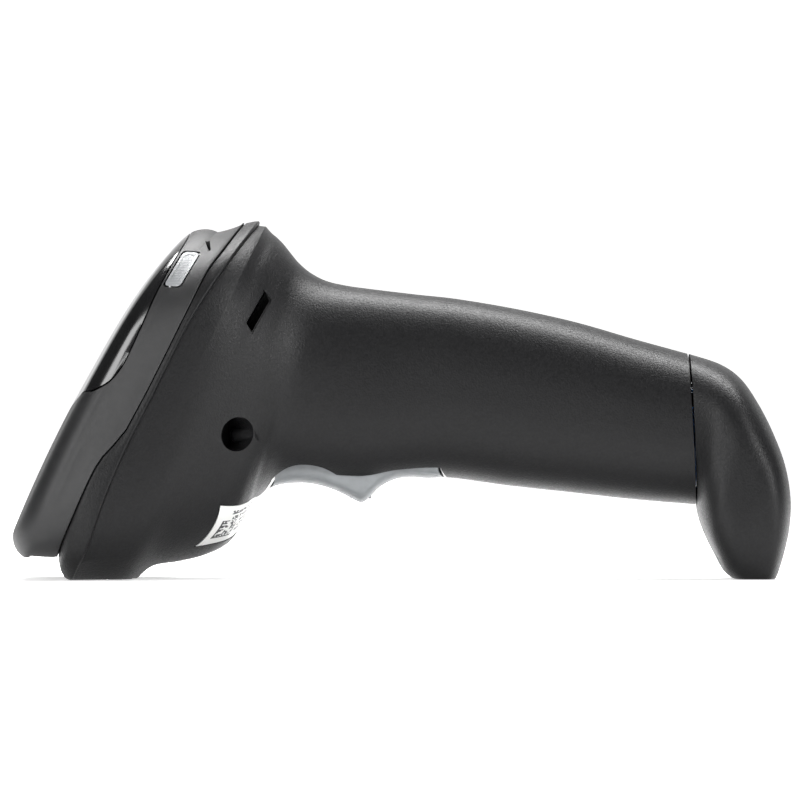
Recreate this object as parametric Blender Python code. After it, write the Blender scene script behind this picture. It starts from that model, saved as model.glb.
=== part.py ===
"""Handheld barcode scanner, lying on its nose bumper and tail foot.

The scanner lies along X: head at -X, tail at +X, mid-plane at Y = 0, resting on Z = 0.
All sizes below are in millimetres; make_object turns them into metres.
Head places are given as (u, n): u runs along the cover rim from the beak to the nose,
n stands out of the rim towards the cover.
"""
import math

import bmesh
import bpy
import numpy as np
from mathutils import Matrix, Vector
from mathutils.bvhtree import BVHTree

MM = 0.001

# ---- driving sizes ----
HEAD_HALF_WIDTH = 33.0        # half the width over the cover rim
HANDLE_HALF_WIDTH = 15.6      # half the grip's width
TAIL_HALF_WIDTH = 21.0        # half the width of the hooked tail
WALL = 2.2                    # moulded wall of the housing, cover and tail
SEAM_GAP = 0.3                # gap between shells that meet
FIT = 0.4                     # clearance of an inner piece to the wall that holds it
TOUCH = 0.3                   # gap between pieces that rest on each other
RUN = 0.45                    # running clearance round a moving piece

# ---- the head's own frame ----
BEAK = (-32.0, 82.0)
RIM_DIRECTION = (-0.490, -0.872)
RIM_NORMAL = (-0.872, 0.490)
RIM_LENGTH = 93.0
RIM_SHAPE = (2.2, 5.6, 0.13)  # squareness at the beak and the nose, and egg

# ---- head lines as (u, n) ----
SEAM_LINE = [(0, 3.0), (10, 4.0), (16, 4.7), (26, 4.2), (42, 3.3), (54, 2.9), (58, 3.1), (65, 4.7),
             (70, 4.7), (78, 4.0), (87, 3.0), (93, 1.9)]
CREASE_LINE = [(0, -0.3), (15, 1.3), (28, 2.0), (44, 1.2), (62, 0.3), (73, -1.0), (85, -3.0), (93, -3.0)]
COVER_TOP_HEIGHT = 17.1       # highest cover point above the rim
COVER_REAR_DROP = 4.2         # how far the cover's top falls towards the beak
COVER_NOSE_DROP = 2.5         # and towards the nose
COVER_EDGE_RADIUS = 4.5
COVER_CROWN = 2.0
COVER_REAR_FOOT = 2.2         # where the cover's rear wall starts along the rim
COVER_REAR_HEAD = 7.0         # and where it ends, at the shoulder
COVER_NOSE_FOOT = 90.3
COVER_NOSE_HEAD = 93.6
FLANGE_STEP = 0.9             # how far the rim flange stands proud of the housing
FLANGE_REAR = 1.0             # where the flange's outer face lies at the beak
FLANGE_NOSE = 92.5            # and at the nose
BUMPER_REACH = 4.0            # height over which the nose bumper is flattened
BUMPER_DIP = 1.5              # and by how much at its foot

# ---- housing stations: top x, z, bottom x, z, half-width share, top and bottom squareness, egg ----
# the share is measured between the handle's half-width (0) and the head's (1)
HEAD_STATIONS = [
    (-30.8, 80.8, -69.5, -0.5, 0.94, 2.2, 5.2, 0.12),
    (-29.6, 79.4, -62.8, -0.3, 0.87, 2.2, 4.4, 0.12),
    (-28.2, 78.2, -56.8, 2.9, 0.78, 2.2, 3.6, 0.11),
    (-26.8, 76.8, -50.5, 3.9, 0.66, 2.2, 3.1, 0.10),
    (-25.2, 74.8, -44.5, 5.4, 0.54, 2.2, 2.8, 0.09),
    (-23.3, 72.5, -39.4, 8.1, 0.41, 2.2, 2.7, 0.08),
    (-20.6, 70.2, -36.2, 12.6, 0.29, 2.25, 2.6, 0.06),
    (-16.9, 68.3, -33.6, 17.4, 0.19, 2.3, 2.5, 0.04),
    (-12.2, 67.2, -28.5, 21.4, 0.11, 2.35, 2.4, 0.02),
    (-7.2, 66.5, -20.0, 21.8, 0.05, 2.4, 2.4, 0.0),
    (-1.5, 65.8, -9.0, 21.2, 0.02, 2.4, 2.4, 0.0),
    (4.5, 65.1, -0.5, 22.6, 0.0, 2.4, 2.4, 0.0),
    (13.5, 64.1, 10.5, 23.1, 0.0, 2.4, 2.4, 0.0),
    (27.0, 61.8, 24.5, 21.3, 0.0, 2.4, 2.4, 0.0),
    (40.5, 58.8, 39.0, 19.7, 0.01, 2.4, 2.4, 0.0),
    (54.0, 54.9, 53.5, 18.1, 0.03, 2.4, 2.4, 0.0),
    (66.0, 51.6, 67.8, 16.9, 0.05, 2.4, 2.5, 0.0),
]
TAIL_STATIONS = [             # the share here is of the tail's half-width
    (66.5, 51.5, 68.2, 16.5, 0.80, 2.5, 2.5, 0.0),
    (73.5, 49.2, 68.6, 14.4, 0.92, 2.5, 2.7, 0.0),
    (78.3, 45.8, 69.3, 12.2, 0.97, 2.5, 2.9, 0.0),
    (82.2, 40.2, 70.2, 10.0, 1.0, 2.5, 3.0, 0.0),
    (85.6, 33.5, 71.1, 8.0, 1.0, 2.6, 3.1, 0.0),
    (88.3, 26.2, 72.1, 6.1, 1.0, 2.7, 3.2, 0.0),
    (89.6, 18.8, 73.0, 4.4, 0.98, 2.8, 3.2, 0.0),
    (89.4, 12.0, 73.8, 2.9, 0.95, 2.9, 3.2, 0.0),
    (88.2, 6.0, 74.7, 1.5, 0.91, 3.0, 3.2, 0.0),
    (86.8, 1.4, 76.0, 0.3, 0.86, 3.0, 3.2, 0.0),
    (85.9, -0.3, 77.0, -0.3, 0.83, 3.0, 3.2, 0.0),
]
HOUSING_STEPS = 2             # rings between two of the housing's stations
TAIL_STEPS = 1                # and between two of the tail's
RING_POINTS = 17              # points on half a ring

# ---- openings in the housing ----
TRIGGER_START = -31.3         # x of the trigger pocket's head end
TRIGGER_END = 10.8            # and of its handle end
TRIGGER_HALF_WIDTH = 8.2
TRIGGER_FRONT_GAP = 1.1       # room in front of the trigger, which swings forward as it is pulled
SKIRT_EDGE = [(-31.3, 20.6), (-29.0, 23.1), (-25.9, 25.3), (-22.3, 26.1), (-17.5, 25.3), (-12.7, 22.7),
              (-8.7, 21.2), (-4.3, 23.5), (0.1, 24.8), (4.5, 25.0), (8.1, 24.4), (10.8, 23.0)]
TRIGGER_SILHOUETTE = [(-30.4, 20.6), (-27.6, 21.5), (-22.3, 21.9), (-17.5, 21.1), (-13.1, 19.4), (-9.9, 17.7),
                      (-8.7, 17.4), (-7.4, 18.2), (-4.7, 20.9), (-1.2, 22.7), (2.3, 23.2), (6.7, 23.0),
                      (10.2, 23.2)]
TRIGGER_WALL = 1.8
TRIGGER_UPSTAND = 3.2         # how far the trigger's sides reach up behind the skirts
TRIGGER_SQUARENESS = 3.4
PIN_PLACE = (6.6, 31.5)
PIN_RADIUS = 1.5
PIN_HOLD = 1.65               # how far the pin's ends sit in the housing's sleeves
LUG_RADIUS = 3.3
PIN_SLEEVE_RADIUS = 3.1

SLOT_PLACE = (18.5, -10.0)    # slanted slot in the housing's side, as (u, n)
SLOT_LENGTH = 9.4
SLOT_HEIGHT = 2.1
SLOT_SLANT = 1.2              # how far its ends slant along the rim
RECESS_PLACE = (-37.7, 33.1)  # round recess in the housing's side, x and z
RECESS_RADIUS = 3.9
RECESS_TILT = 42.0            # degrees that its axis leans to the handle
RECESS_AXIS_Y = 23.0          # where the recess's axis crosses its place, from the mid-plane
RECESS_DEPTH = 6.0            # how far it runs in past that
SLOT_FLOOR_Y = 15.0           # y of the slot's blind end
BLIND_WALL = 1.2              # wall round and behind the slot and the recess

# ---- the front face: window, bezel and engine, about a tilted frame ----
FRONT_CENTRE = (-75.6, 2.6)
FRONT_TILT = 13.5             # degrees
WINDOW_LENGTH = 42.0          # clear opening across the nose
WINDOW_HEIGHT = 16.0
BEZEL_WALL = 1.3
BEZEL_FRONT = 2.8             # how far the bezel's front lies inside the nose
BEZEL_DEPTH = 4.5
WINDOW_THICK = 1.5
GASKET_THICK = 0.8
ENGINE_LENGTH = 27.0
ENGINE_HEIGHT = 12.5
ENGINE_DEPTH = 12.0
ENGINE_STANDOFF = 8.0         # from the scan window back to the engine
FRAME_THICK = 2.0
LENS_RADIUS = 3.4
LENS_DEPTH = 5.0
SENSOR_BOARD_THICK = 1.2
ILLUMINATOR_RADIUS = 2.6
AIMER_RADIUS = 1.6

# ---- light guides and panel of the cover ----
LIGHT_GUIDE_START = 14.0
LIGHT_GUIDE_END = 23.0
LIGHT_GUIDE_LOW = 8.2
LIGHT_GUIDE_HIGH = 11.5
LIGHT_GUIDE_REACH = 1.2       # how far a light guide reaches in past the cover's wall
LIGHT_GUIDE_SLANT = 0.45      # how far its ends lean along the rim for each unit of height
LED_LENGTH = 4.0
PANEL_THICK = 1.1
PANEL_EDGE = [(8.2, 18.0), (8.2, 13.4), (12.0, 12.6), (20.0, 12.5), (27.0, 12.2), (33.0, 11.6), (39.0, 11.0),
              (44.5, 10.8), (48.5, 11.6), (51.5, 13.3), (54.0, 15.3), (57.0, 16.2), (62.0, 16.6),
              (62.0, 20.0), (8.2, 20.0)]
PANEL_TIP = 60.0              # how far the panel's rounded front reaches along the rim
PANEL_TIP_BOW = 10.0          # how far its corners lie behind that
VENT_PLACE = (10.3, 8.2)

# ---- pieces in the handle ----
CELL_RADIUS = 9.2
CELL_LENGTH = 65.0
CELL_START = 12.0             # x of the cell's head end
CELL_LIFT = 4.0               # room under the cell, over the handle's lower line
LOWER_LINE = (18.5, 22.1, -0.104)   # x, z and slope of the handle's lower line
CRADLE_START = 10.0
CRADLE_END = 58.0
CRADLE_COVER = 1.0            # how far the cradle's top stands over the cell
CONTACT_THICK = 0.5
GASKET_WALL = 0.9             # the end cap seal, a sleeve inside the handle's mouth
BOARD_START = -13.0
BOARD_END = 50.0
BOARD_THICK = 1.6
BOARD_HALF_WIDTH = 11.0
SHIELD_HEIGHT = 2.4
BEEPER_RADIUS = 5.5
BEEPER_HEIGHT = 4.5

TRIGGER_BOARD_START = -27.5
TRIGGER_BOARD_END = -2.5
TRIGGER_BOARD_HEIGHT = 37.5   # z of the trigger board's underside
SWITCH_PLACE = -9.0           # x of the switch
SWITCH_SIZE = (6.2, 6.2, 3.4)
PLUNGER_RADIUS = 1.7
PLUNGER_LENGTH = 2.4
SPRING_PLACE = -22.0          # x of the trigger's return spring
SPRING_RADIUS = 2.6
SPRING_WIRE = 0.45
SPRING_TURNS = 5.0

# ---- fasteners ----
HEAD_SCREWS = [(-45.0, 16.0), (-16.0, 58.5)]   # x and z of the case screws in the head
REAR_SCREW = 52.0             # x of the case screw over the cradle
REAR_SCREW_LIFT = 9.0         # and its height over the cradle's top
SCREW_SHANK = 1.2
SCREW_HEAD = 2.5
SCREW_HEAD_HEIGHT = 1.6
BOSS_RADIUS = 3.2
SCREW_HOLE = 1.55
END_SCREW_LIFT = 3.2          # height of the end cap's screw over the cradle's top
SCREW_SEAT = 4.0              # y of the face under the case screws' heads
SCREW_REACH = 7.5             # how far their shanks pass the mid-plane
LABEL_THICK = 0.2
LABEL_SINK = 0.6              # depth of the label's shallow recess
LABEL_FOOT = (-36.9, 10.8)    # x and z of its lower edge on the mid-plane
LABEL_RISE = (0.33, 0.94)     # the way it runs up the chin
LABEL_DROOP = (6.4, 4.7)      # how far its ends hang below its middle, at its foot and its top
LABEL_HEIGHT = 9.0
LABEL_HALF_SPAN = (15.6, 21.0)  # how far it reaches to each side at its foot and its top

ROUND = 20                    # sides of small round pieces

COLOURS = {                   # base colour, roughness, metallic
    "housing": ((0.030, 0.030, 0.032), 0.55, 0.0),
    "cover": ((0.022, 0.022, 0.024), 0.38, 0.0),
    "gloss": ((0.008, 0.008, 0.010), 0.06, 0.0),
    "trigger": ((0.27, 0.28, 0.29), 0.48, 0.0),
    "light_guide": ((0.80, 0.82, 0.84), 0.25, 0.0),
    "label": ((0.80, 0.80, 0.79), 0.55, 0.0),
    "rubber": ((0.015, 0.015, 0.015), 0.80, 0.0),
    "window": ((0.10, 0.02, 0.02), 0.05, 0.0),
    "board": ((0.02, 0.16, 0.07), 0.45, 0.0),
    "inner_plastic": ((0.05, 0.05, 0.055), 0.55, 0.0),
    "steel": ((0.55, 0.56, 0.58), 0.30, 1.0),
    "gold": ((0.83, 0.60, 0.25), 0.25, 1.0),
    "cell": ((0.06, 0.18, 0.42), 0.35, 0.0),
}
MATERIALS = {}

PIN_HALF_LENGTH = TRIGGER_HALF_WIDTH + RUN + PIN_HOLD
CELL_HEIGHT = CELL_LIFT + CELL_RADIUS      # of the cell's axis over the handle's lower line
CRADLE_TOP = CELL_HEIGHT + CELL_RADIUS + CRADLE_COVER
LOWER_AT_REAR = LOWER_LINE[1] + LOWER_LINE[2] * (REAR_SCREW - LOWER_LINE[0])
CASE_SCREWS = HEAD_SCREWS + [(REAR_SCREW, LOWER_AT_REAR + CRADLE_TOP + REAR_SCREW_LIFT)]


# ---------------------------------------------------------------- basics

def material(key):
    if key not in MATERIALS:
        colour, roughness, metallic = COLOURS[key]
        made = bpy.data.materials.new(key)
        made.use_nodes = True
        shader = made.node_tree.nodes["Principled BSDF"]
        shader.inputs["Base Color"].default_value = (*colour, 1.0)
        shader.inputs["Roughness"].default_value = roughness
        shader.inputs["Metallic"].default_value = metallic
        MATERIALS[key] = made
    return MATERIALS[key]


def make_object(name, points, faces, finish="inner_plastic", smooth=30.0):
    """An object from points in millimetres."""
    mesh = bpy.data.meshes.new(name)
    mesh.from_pydata([tuple(float(c) * MM for c in p) for p in points], [], [tuple(f) for f in faces])
    mesh.validate()
    made = bpy.data.objects.new(name, mesh)
    bpy.context.scene.collection.objects.link(made)
    mesh.materials.append(material(finish))
    if smooth:
        mesh.shade_smooth()
        mesh.set_sharp_from_angle(angle=math.radians(smooth))
    return made


def remove(thing):
    bpy.data.objects.remove(thing, do_unlink=True)


def boolean(target, operation, tool, keep_tool=False):
    """Applies an exact Boolean to the target's mesh, and removes the tool."""
    modifier = target.modifiers.new("cut", "BOOLEAN")
    modifier.operation = operation
    modifier.solver = "EXACT"
    modifier.object = tool
    depsgraph = bpy.context.evaluated_depsgraph_get()
    old = target.data
    target.data = bpy.data.meshes.new_from_object(target.evaluated_get(depsgraph))
    target.modifiers.clear()
    bpy.data.meshes.remove(old)
    if not keep_tool:
        remove(tool)
    return target


def cut(target, tool):
    return boolean(target, "DIFFERENCE", tool)


def join(target, tool):
    return boolean(target, "UNION", tool)


def keep_inside(target, envelope):
    return boolean(target, "INTERSECT", envelope)


def move_origin(thing, x, y, z):
    """Puts the object's origin on a joint's axis and leaves its shape in place."""
    place = Vector((x * MM, y * MM, z * MM))
    thing.data.transform(Matrix.Translation(-place))
    thing.location = place
    return thing


def smooth_line(points, x):
    """Height at x on the smooth curve through the points."""
    xs = [p[0] for p in points]
    ys = [p[1] for p in points]
    x = min(max(x, xs[0]), xs[-1])
    i = min(max(int(np.searchsorted(xs, x)) - 1, 0), len(xs) - 2)
    span = xs[i + 1] - xs[i]
    t = (x - xs[i]) / span
    before = max(i - 1, 0)
    after = min(i + 2, len(xs) - 1)
    slope_a = (ys[i + 1] - ys[before]) / (xs[i + 1] - xs[before]) * span
    slope_b = (ys[after] - ys[i]) / (xs[after] - xs[i]) * span
    return (ys[i] * (2 * t**3 - 3 * t**2 + 1) + slope_a * (t**3 - 2 * t**2 + t)
            + ys[i + 1] * (3 * t**2 - 2 * t**3) + slope_b * (t**3 - t**2))


def smooth_rows(rows, steps):
    """Rows of numbers with smooth rows put between them."""
    rows = np.array(rows, dtype=float)
    out = []
    for i in range(len(rows) - 1):
        before = rows[max(i - 1, 0)]
        after = rows[min(i + 2, len(rows) - 1)]
        slope_a = (rows[i + 1] - before) / 2
        slope_b = (after - rows[i]) / 2
        for step in range(steps):
            t = step / steps
            out.append(rows[i] * (2 * t**3 - 3 * t**2 + 1) + slope_a * (t**3 - 2 * t**2 + t)
                       + rows[i + 1] * (3 * t**2 - 2 * t**3) + slope_b * (t**3 - t**2))
    out.append(rows[-1])
    return out


def box(name, low, high, finish="inner_plastic"):
    x0, y0, z0 = low
    x1, y1, z1 = high
    points = [(x0, y0, z0), (x1, y0, z0), (x1, y1, z0), (x0, y1, z0),
              (x0, y0, z1), (x1, y0, z1), (x1, y1, z1), (x0, y1, z1)]
    faces = [(0, 3, 2, 1), (4, 5, 6, 7), (0, 1, 5, 4), (1, 2, 6, 5), (2, 3, 7, 6), (3, 0, 4, 7)]
    return make_object(name, points, faces, finish)


def turned(name, profile, start, direction, finish="inner_plastic", sides=ROUND):
    """A closed turned solid: the profile is (distance along the axis, radius), rising along it."""
    axis = Vector(direction).normalized()
    side = axis.orthogonal().normalized()
    other = axis.cross(side)
    origin = Vector(start)
    points = []
    for along, radius in profile:
        for i in range(sides):
            angle = 2 * math.pi * i / sides
            points.append(origin + axis * along + (side * math.cos(angle) + other * math.sin(angle)) * radius)
    faces = [tuple(reversed(range(sides)))]
    for ring in range(len(profile) - 1):
        for i in range(sides):
            j = (i + 1) % sides
            a = ring * sides
            b = a + sides
            faces.append((a + i, a + j, b + j, b + i))
    last = (len(profile) - 1) * sides
    faces.append(tuple(range(last, last + sides)))
    return make_object(name, points, faces, finish)


def rod(name, start, direction, length, radius, finish="inner_plastic", sides=ROUND):
    return turned(name, [(0, radius), (length, radius)], start, direction, finish, sides)


def plate(name, outline, y_low, y_high, finish="inner_plastic"):
    """A flat outline in X and Z, listed clockwise as seen from -Y, drawn out along Y."""
    count = len(outline)
    points = [(x, y_low, z) for x, z in outline] + [(x, y_high, z) for x, z in outline]
    faces = [tuple(range(count)), tuple(reversed(range(count, 2 * count)))]
    faces += [(i, i + count, (i + 1) % count + count, (i + 1) % count) for i in range(count)]
    made = make_object(name, points, faces, finish)
    turn_faces_out(made)
    return made


def turn_faces_out(thing):
    work = bmesh.new()
    work.from_mesh(thing.data)
    bmesh.ops.recalc_face_normals(work, faces=work.faces)
    work.to_mesh(thing.data)
    work.free()


# ---------------------------------------------------------------- body rings

def head_point(u, n, y=0.0):
    return (BEAK[0] + RIM_DIRECTION[0] * u + RIM_NORMAL[0] * n, y,
            BEAK[1] + RIM_DIRECTION[1] * u + RIM_NORMAL[1] * n)


def half_outline(half_width, square_top, square_bottom, egg, count=RING_POINTS):
    """Half a ring as (share from bottom 0 to top 1, y), from the bottom point to the top point."""
    out = []
    for i in range(count + 1):
        angle = math.pi * i / count
        v = -math.cos(angle)
        power = 2 / (square_bottom + (square_top - square_bottom) * (v + 1) / 2)
        along = math.copysign(abs(v) ** power, v)
        across = max(math.sin(angle), 0.0) ** power if 0 < i < count else 0.0
        out.append(((along + 1) / 2, half_width * across * (1 - egg * along)))
    return out


def whole_outline(half_width, square_top, square_bottom, egg):
    """A whole ring, once round: up the +Y side and down the -Y side."""
    half = half_outline(half_width, square_top, square_bottom, egg)
    return half + [(share, -y) for share, y in reversed(half[1:-1])]


def station_ring(row, inset=0.0, whole=False, half_of=None):
    """The points of a station, drawn in by the inset."""
    top = Vector((row[0], 0, row[1]))
    bottom = Vector((row[2], 0, row[3]))
    chord = (top - bottom).normalized()
    top -= chord * inset
    bottom += chord * inset
    maker = whole_outline if whole else half_outline
    flat = maker(row[4] - inset, row[5], row[6], row[7])
    out = []
    for share, y in flat:
        p = bottom.lerp(top, share)
        out.append(Vector((p.x, y, max(p.z, inset))))
    return out


def rim_width():
    """Half-width handed to a rim ring so that its widest point is the head's."""
    widest = max(y for _, y in half_outline(1.0, *RIM_SHAPE))
    return HEAD_HALF_WIDTH / widest


def rim_ring(u_start, u_end, half_width, height, whole=False):
    """A ring about the rim: height gives n for each u."""
    maker = whole_outline if whole else half_outline
    out = []
    for share, y in maker(half_width, *RIM_SHAPE):
        u = u_end + (u_start - u_end) * share
        x, _, z = head_point(u, height(u))
        out.append(Vector((x, y, z)))
    return out


def housing_rows():
    """The housing's stations with their real half-widths, smoothed."""
    rows = []
    for row in HEAD_STATIONS:
        half = HANDLE_HALF_WIDTH + (rim_width() - FLANGE_STEP - HANDLE_HALF_WIDTH) * row[4]
        rows.append((*row[:4], half, *row[5:]))
    return smooth_rows(rows, HOUSING_STEPS)


def tail_rows():
    rows = [(*row[:4], TAIL_HALF_WIDTH * row[4], *row[5:]) for row in TAIL_STATIONS]
    return smooth_rows(rows, TAIL_STEPS)


def housing_rings(inset=0.0, whole=False):
    """All rings of the housing from the cover seam to the tail seam."""
    width = rim_width()
    rings = [
        rim_ring(COVER_REAR_FOOT + inset, COVER_NOSE_FOOT - inset, width - 0.3 - inset,
                 lambda u: smooth_line(SEAM_LINE, u) - SEAM_GAP, whole),
        rim_ring(FLANGE_REAR + inset, FLANGE_NOSE - inset, width - 0.1 - inset,
                 lambda u: (smooth_line(SEAM_LINE, u) + smooth_line(CREASE_LINE, u)) / 2 + 0.2, whole),
        rim_ring(0.2 + inset, RIM_LENGTH + 0.2 - inset, width - inset,
                 lambda u: smooth_line(CREASE_LINE, u) + 0.5, whole),
        rim_ring(0.2 + FLANGE_STEP + inset, RIM_LENGTH - inset, width - FLANGE_STEP - inset,
                 lambda u: smooth_line(CREASE_LINE, u) - 0.4, whole),
    ]
    rings += [station_ring(row, inset, whole) for row in housing_rows()]
    for ring in rings:
        for point in ring:
            dip = BUMPER_DIP * max(1 - point.z / BUMPER_REACH, 0.0) ** 2
            point.z = max(point.z - dip, inset)
    return rings


def grid_faces(rows, columns, start=0, closed=False, flip=False):
    faces = []
    span = columns if closed else columns - 1
    for r in range(rows - 1):
        for c in range(span):
            d = (c + 1) % columns
            quad = (start + r * columns + c, start + r * columns + d,
                    start + (r + 1) * columns + d, start + (r + 1) * columns + c)
            faces.append(tuple(reversed(quad)) if flip else quad)
    return faces


def half_shell(name, outer, inner, side, finish):
    """A closed half shell between two sets of half rings, on the side given by side's sign."""
    rows = len(outer)
    columns = len(outer[0])
    points = []
    for rings in (outer, inner):
        for ring in rings:
            for p in ring:
                points.append((p.x, side * max(p.y, SEAM_GAP / 2), p.z))
    total = rows * columns
    faces = grid_faces(rows, columns) + grid_faces(rows, columns, total, flip=True)
    for r in range(rows - 1):
        for c in (0, columns - 1):
            a = r * columns + c
            b = a + columns
            faces.append((a, b, b + total, a + total))
    for r in (0, rows - 1):
        for c in range(columns - 1):
            a = r * columns + c
            faces.append((a, a + 1, a + 1 + total, a + total))
    made = make_object(name, points, faces, finish)
    turn_faces_out(made)
    return made


def closed_rings(name, rings, finish="inner_plastic"):
    """A solid through whole rings, with flat ends."""
    columns = len(rings[0])
    points = [tuple(p) for ring in rings for p in ring]
    faces = grid_faces(len(rings), columns, closed=True)
    faces.append(tuple(reversed(range(columns))))
    last = (len(rings) - 1) * columns
    faces.append(tuple(range(last, last + columns)))
    made = make_object(name, points, faces, finish)
    turn_faces_out(made)
    return made


def ring_shell(name, outer, inner, finish, closed_end):
    """A shell between whole rings, open at its first ring, and closed or open at its last."""
    columns = len(outer[0])
    rows = len(outer)
    total = rows * columns
    points = [tuple(p) for rings in (outer, inner) for ring in rings for p in ring]
    faces = grid_faces(rows, columns, closed=True)
    faces += grid_faces(rows, columns, total, closed=True, flip=True)
    for c in range(columns):
        d = (c + 1) % columns
        faces.append((c, d, d + total, c + total))
    last = (rows - 1) * columns
    if closed_end:
        faces.append(tuple(range(last, last + columns)))
        faces.append(tuple(reversed(range(total + last, total + last + columns))))
    else:
        for c in range(columns):
            d = (c + 1) % columns
            faces.append((last + c, last + d, last + d + total, last + c + total))
    made = make_object(name, points, faces, finish)
    turn_faces_out(made)
    return made


def housing_envelope(inset):
    return closed_rings("envelope", housing_rings(inset, whole=True))


# ---------------------------------------------------------------- front frame

def front_point(across, depth, y=0.0):
    """A point about the nose opening: across runs bumper to cover, depth runs into the head."""
    tilt = math.radians(FRONT_TILT)
    return Vector((FRONT_CENTRE[0] - math.cos(tilt) * across + math.sin(tilt) * depth, y,
                   FRONT_CENTRE[1] + math.sin(tilt) * across + math.cos(tilt) * depth))


def front_box(name, low, high, finish="inner_plastic"):
    """A box given by its across, y and depth limits."""
    points = [front_point(a, d, y) for d in (low[2], high[2])
              for a, y in ((low[0], low[1]), (high[0], low[1]), (high[0], high[1]), (low[0], high[1]))]
    faces = [(0, 3, 2, 1), (4, 5, 6, 7), (0, 1, 5, 4), (1, 2, 6, 5), (2, 3, 7, 6), (3, 0, 4, 7)]
    made = make_object(name, points, faces, finish)
    turn_faces_out(made)
    return made


def front_block(name, half_across, half_length, depth_low, depth_high, finish="inner_plastic"):
    return front_box(name, (-half_across, -half_length, depth_low), (half_across, half_length, depth_high), finish)


def front_rod(name, across, y, depth, length, radius, finish, sides=ROUND):
    start = front_point(across, depth, y)
    direction = front_point(across, depth + 1, y) - start
    return rod(name, start, direction, length, radius, finish, sides)


# ---------------------------------------------------------------- the cover

def cover_top(u):
    """Height of the cover's top line over the rim."""
    rear = max(45.0 - u, 0.0) / 35.0
    nose = max(u - 55.0, 0.0) / 35.0
    return COVER_TOP_HEIGHT - COVER_REAR_DROP * rear**2.6 - COVER_NOSE_DROP * nose**1.7


def cover_rings(inset=0.0, foot=0.0):
    """Whole rings of the cover from its foot at the seam, up the wall and over the top."""
    width = rim_width() - 0.3
    radius = COVER_EDGE_RADIUS
    steps = [(0.0, 0.0, 0.0), (0.5, 0.0, 0.0), (1.0, 0.0, 0.0)]
    for angle in (22.5, 45.0, 67.5, 90.0):
        a = math.radians(angle)
        steps.append((1.0, radius * (1 - math.cos(a)), radius * math.sin(a)))
    for shrink in (3.0, 7.0, 12.0, 18.0, 25.0):
        steps.append((1.0, radius + shrink, radius))
    rings = []
    for share, drawn_in, lift in steps:
        u_start = COVER_REAR_FOOT + (COVER_REAR_HEAD - COVER_REAR_FOOT) * share + drawn_in + inset
        u_end = COVER_NOSE_FOOT + (COVER_NOSE_HEAD - COVER_NOSE_FOOT) * share - drawn_in - inset
        half = width - 0.6 * share - drawn_in - inset
        ring = []
        for part, y in whole_outline(max(half, 0.6), *RIM_SHAPE):
            u = u_end + (u_start - u_end) * part
            base = smooth_line(SEAM_LINE, u) + foot
            crown = COVER_CROWN * (y / width) ** 2
            shoulder = cover_top(u) - crown - radius - inset
            n = base + (shoulder - base) * share + lift
            x, _, z = head_point(u, n)
            ring.append(Vector((x, y, z)))
        rings.append(ring)
    return rings


def cover_half_width(u):
    """Half the cover's width at the shoulder, at a place along the rim."""
    ring = sorted((COVER_NOSE_HEAD + (COVER_REAR_HEAD - COVER_NOSE_HEAD) * share, y)
                  for share, y in half_outline(rim_width() - 0.9, *RIM_SHAPE))
    return float(np.interp(u, [p[0] for p in ring], [p[1] for p in ring]))


def side_prism(name, outline, y_low, y_high):
    """A prism along Y from an outline in (u, n)."""
    flat = []
    for u, n in outline:
        x, _, z = head_point(u, n)
        flat.append((x, z))
    return plate(name, flat, y_low, y_high)


def rounded_slot(u0, u1, n0, n1, radius=0.9, slant=0.0):
    """A rounded rectangle in (u, n), its n sides slanting along u."""
    out = []
    corners = ((u1 - radius, n1 - radius, 0), (u0 + radius, n1 - radius, 90),
               (u0 + radius, n0 + radius, 180), (u1 - radius, n0 + radius, 270))
    for u, n, start in corners:
        for step in range(4):
            a = math.radians(start + step * 30)
            height = n + radius * math.sin(a)
            out.append((u + radius * math.cos(a) + slant * (height - (n0 + n1) / 2), height))
    return out


def light_guide_outline(grow):
    return rounded_slot(LIGHT_GUIDE_START - grow, LIGHT_GUIDE_END + grow,
                        LIGHT_GUIDE_LOW - grow, LIGHT_GUIDE_HIGH + grow, slant=LIGHT_GUIDE_SLANT)


def panel_outline(grow):
    """The indicator panel's side view, grown about its middle."""
    middle_u = (PANEL_EDGE[0][0] + PANEL_EDGE[-2][0]) / 2
    out = []
    for u, n in PANEL_EDGE:
        out.append((u + math.copysign(grow, u - middle_u), n - grow))
    return out


def panel_tongue(grow):
    """The panel's rounded front, as a prism along the rim's normal."""
    reach = HEAD_HALF_WIDTH + 2.0
    outline = [(PANEL_TIP + grow - PANEL_TIP_BOW * (y / HEAD_HALF_WIDTH) ** 2, y)
               for y in np.linspace(-reach, reach, 25)]
    outline += [(0.0, reach), (0.0, -reach)]
    low = [head_point(u, 5.0, y) for u, y in outline]
    high = [head_point(u, 24.0, y) for u, y in outline]
    count = len(outline)
    faces = [tuple(range(count)), tuple(reversed(range(count, 2 * count)))]
    faces += [(i, i + count, (i + 1) % count + count, (i + 1) % count) for i in range(count)]
    made = make_object("tongue", low + high, faces)
    turn_faces_out(made)
    return made


def make_cover():
    cover = ring_shell("top_cover", cover_rings(), cover_rings(WALL), "cover", closed_end=True)
    pocket = side_prism("pocket", panel_outline(SEAM_GAP), -40, 40)
    keep_inside(pocket, panel_tongue(SEAM_GAP))
    below = closed_rings("below", cover_rings(PANEL_THICK + SEAM_GAP, foot=-2.0))
    cut(pocket, below)
    cut(cover, pocket)
    for side in (-1, 1):
        y0, y1 = sorted((side * 12.0, side * 40.0))
        cut(cover, side_prism("slot", light_guide_outline(SEAM_GAP), y0, y1))
        cut(cover, side_prism("vent", vent_outline(), y0, y1))
    cut(cover, front_opening(BEZEL_WALL + SEAM_GAP))
    return cover


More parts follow.
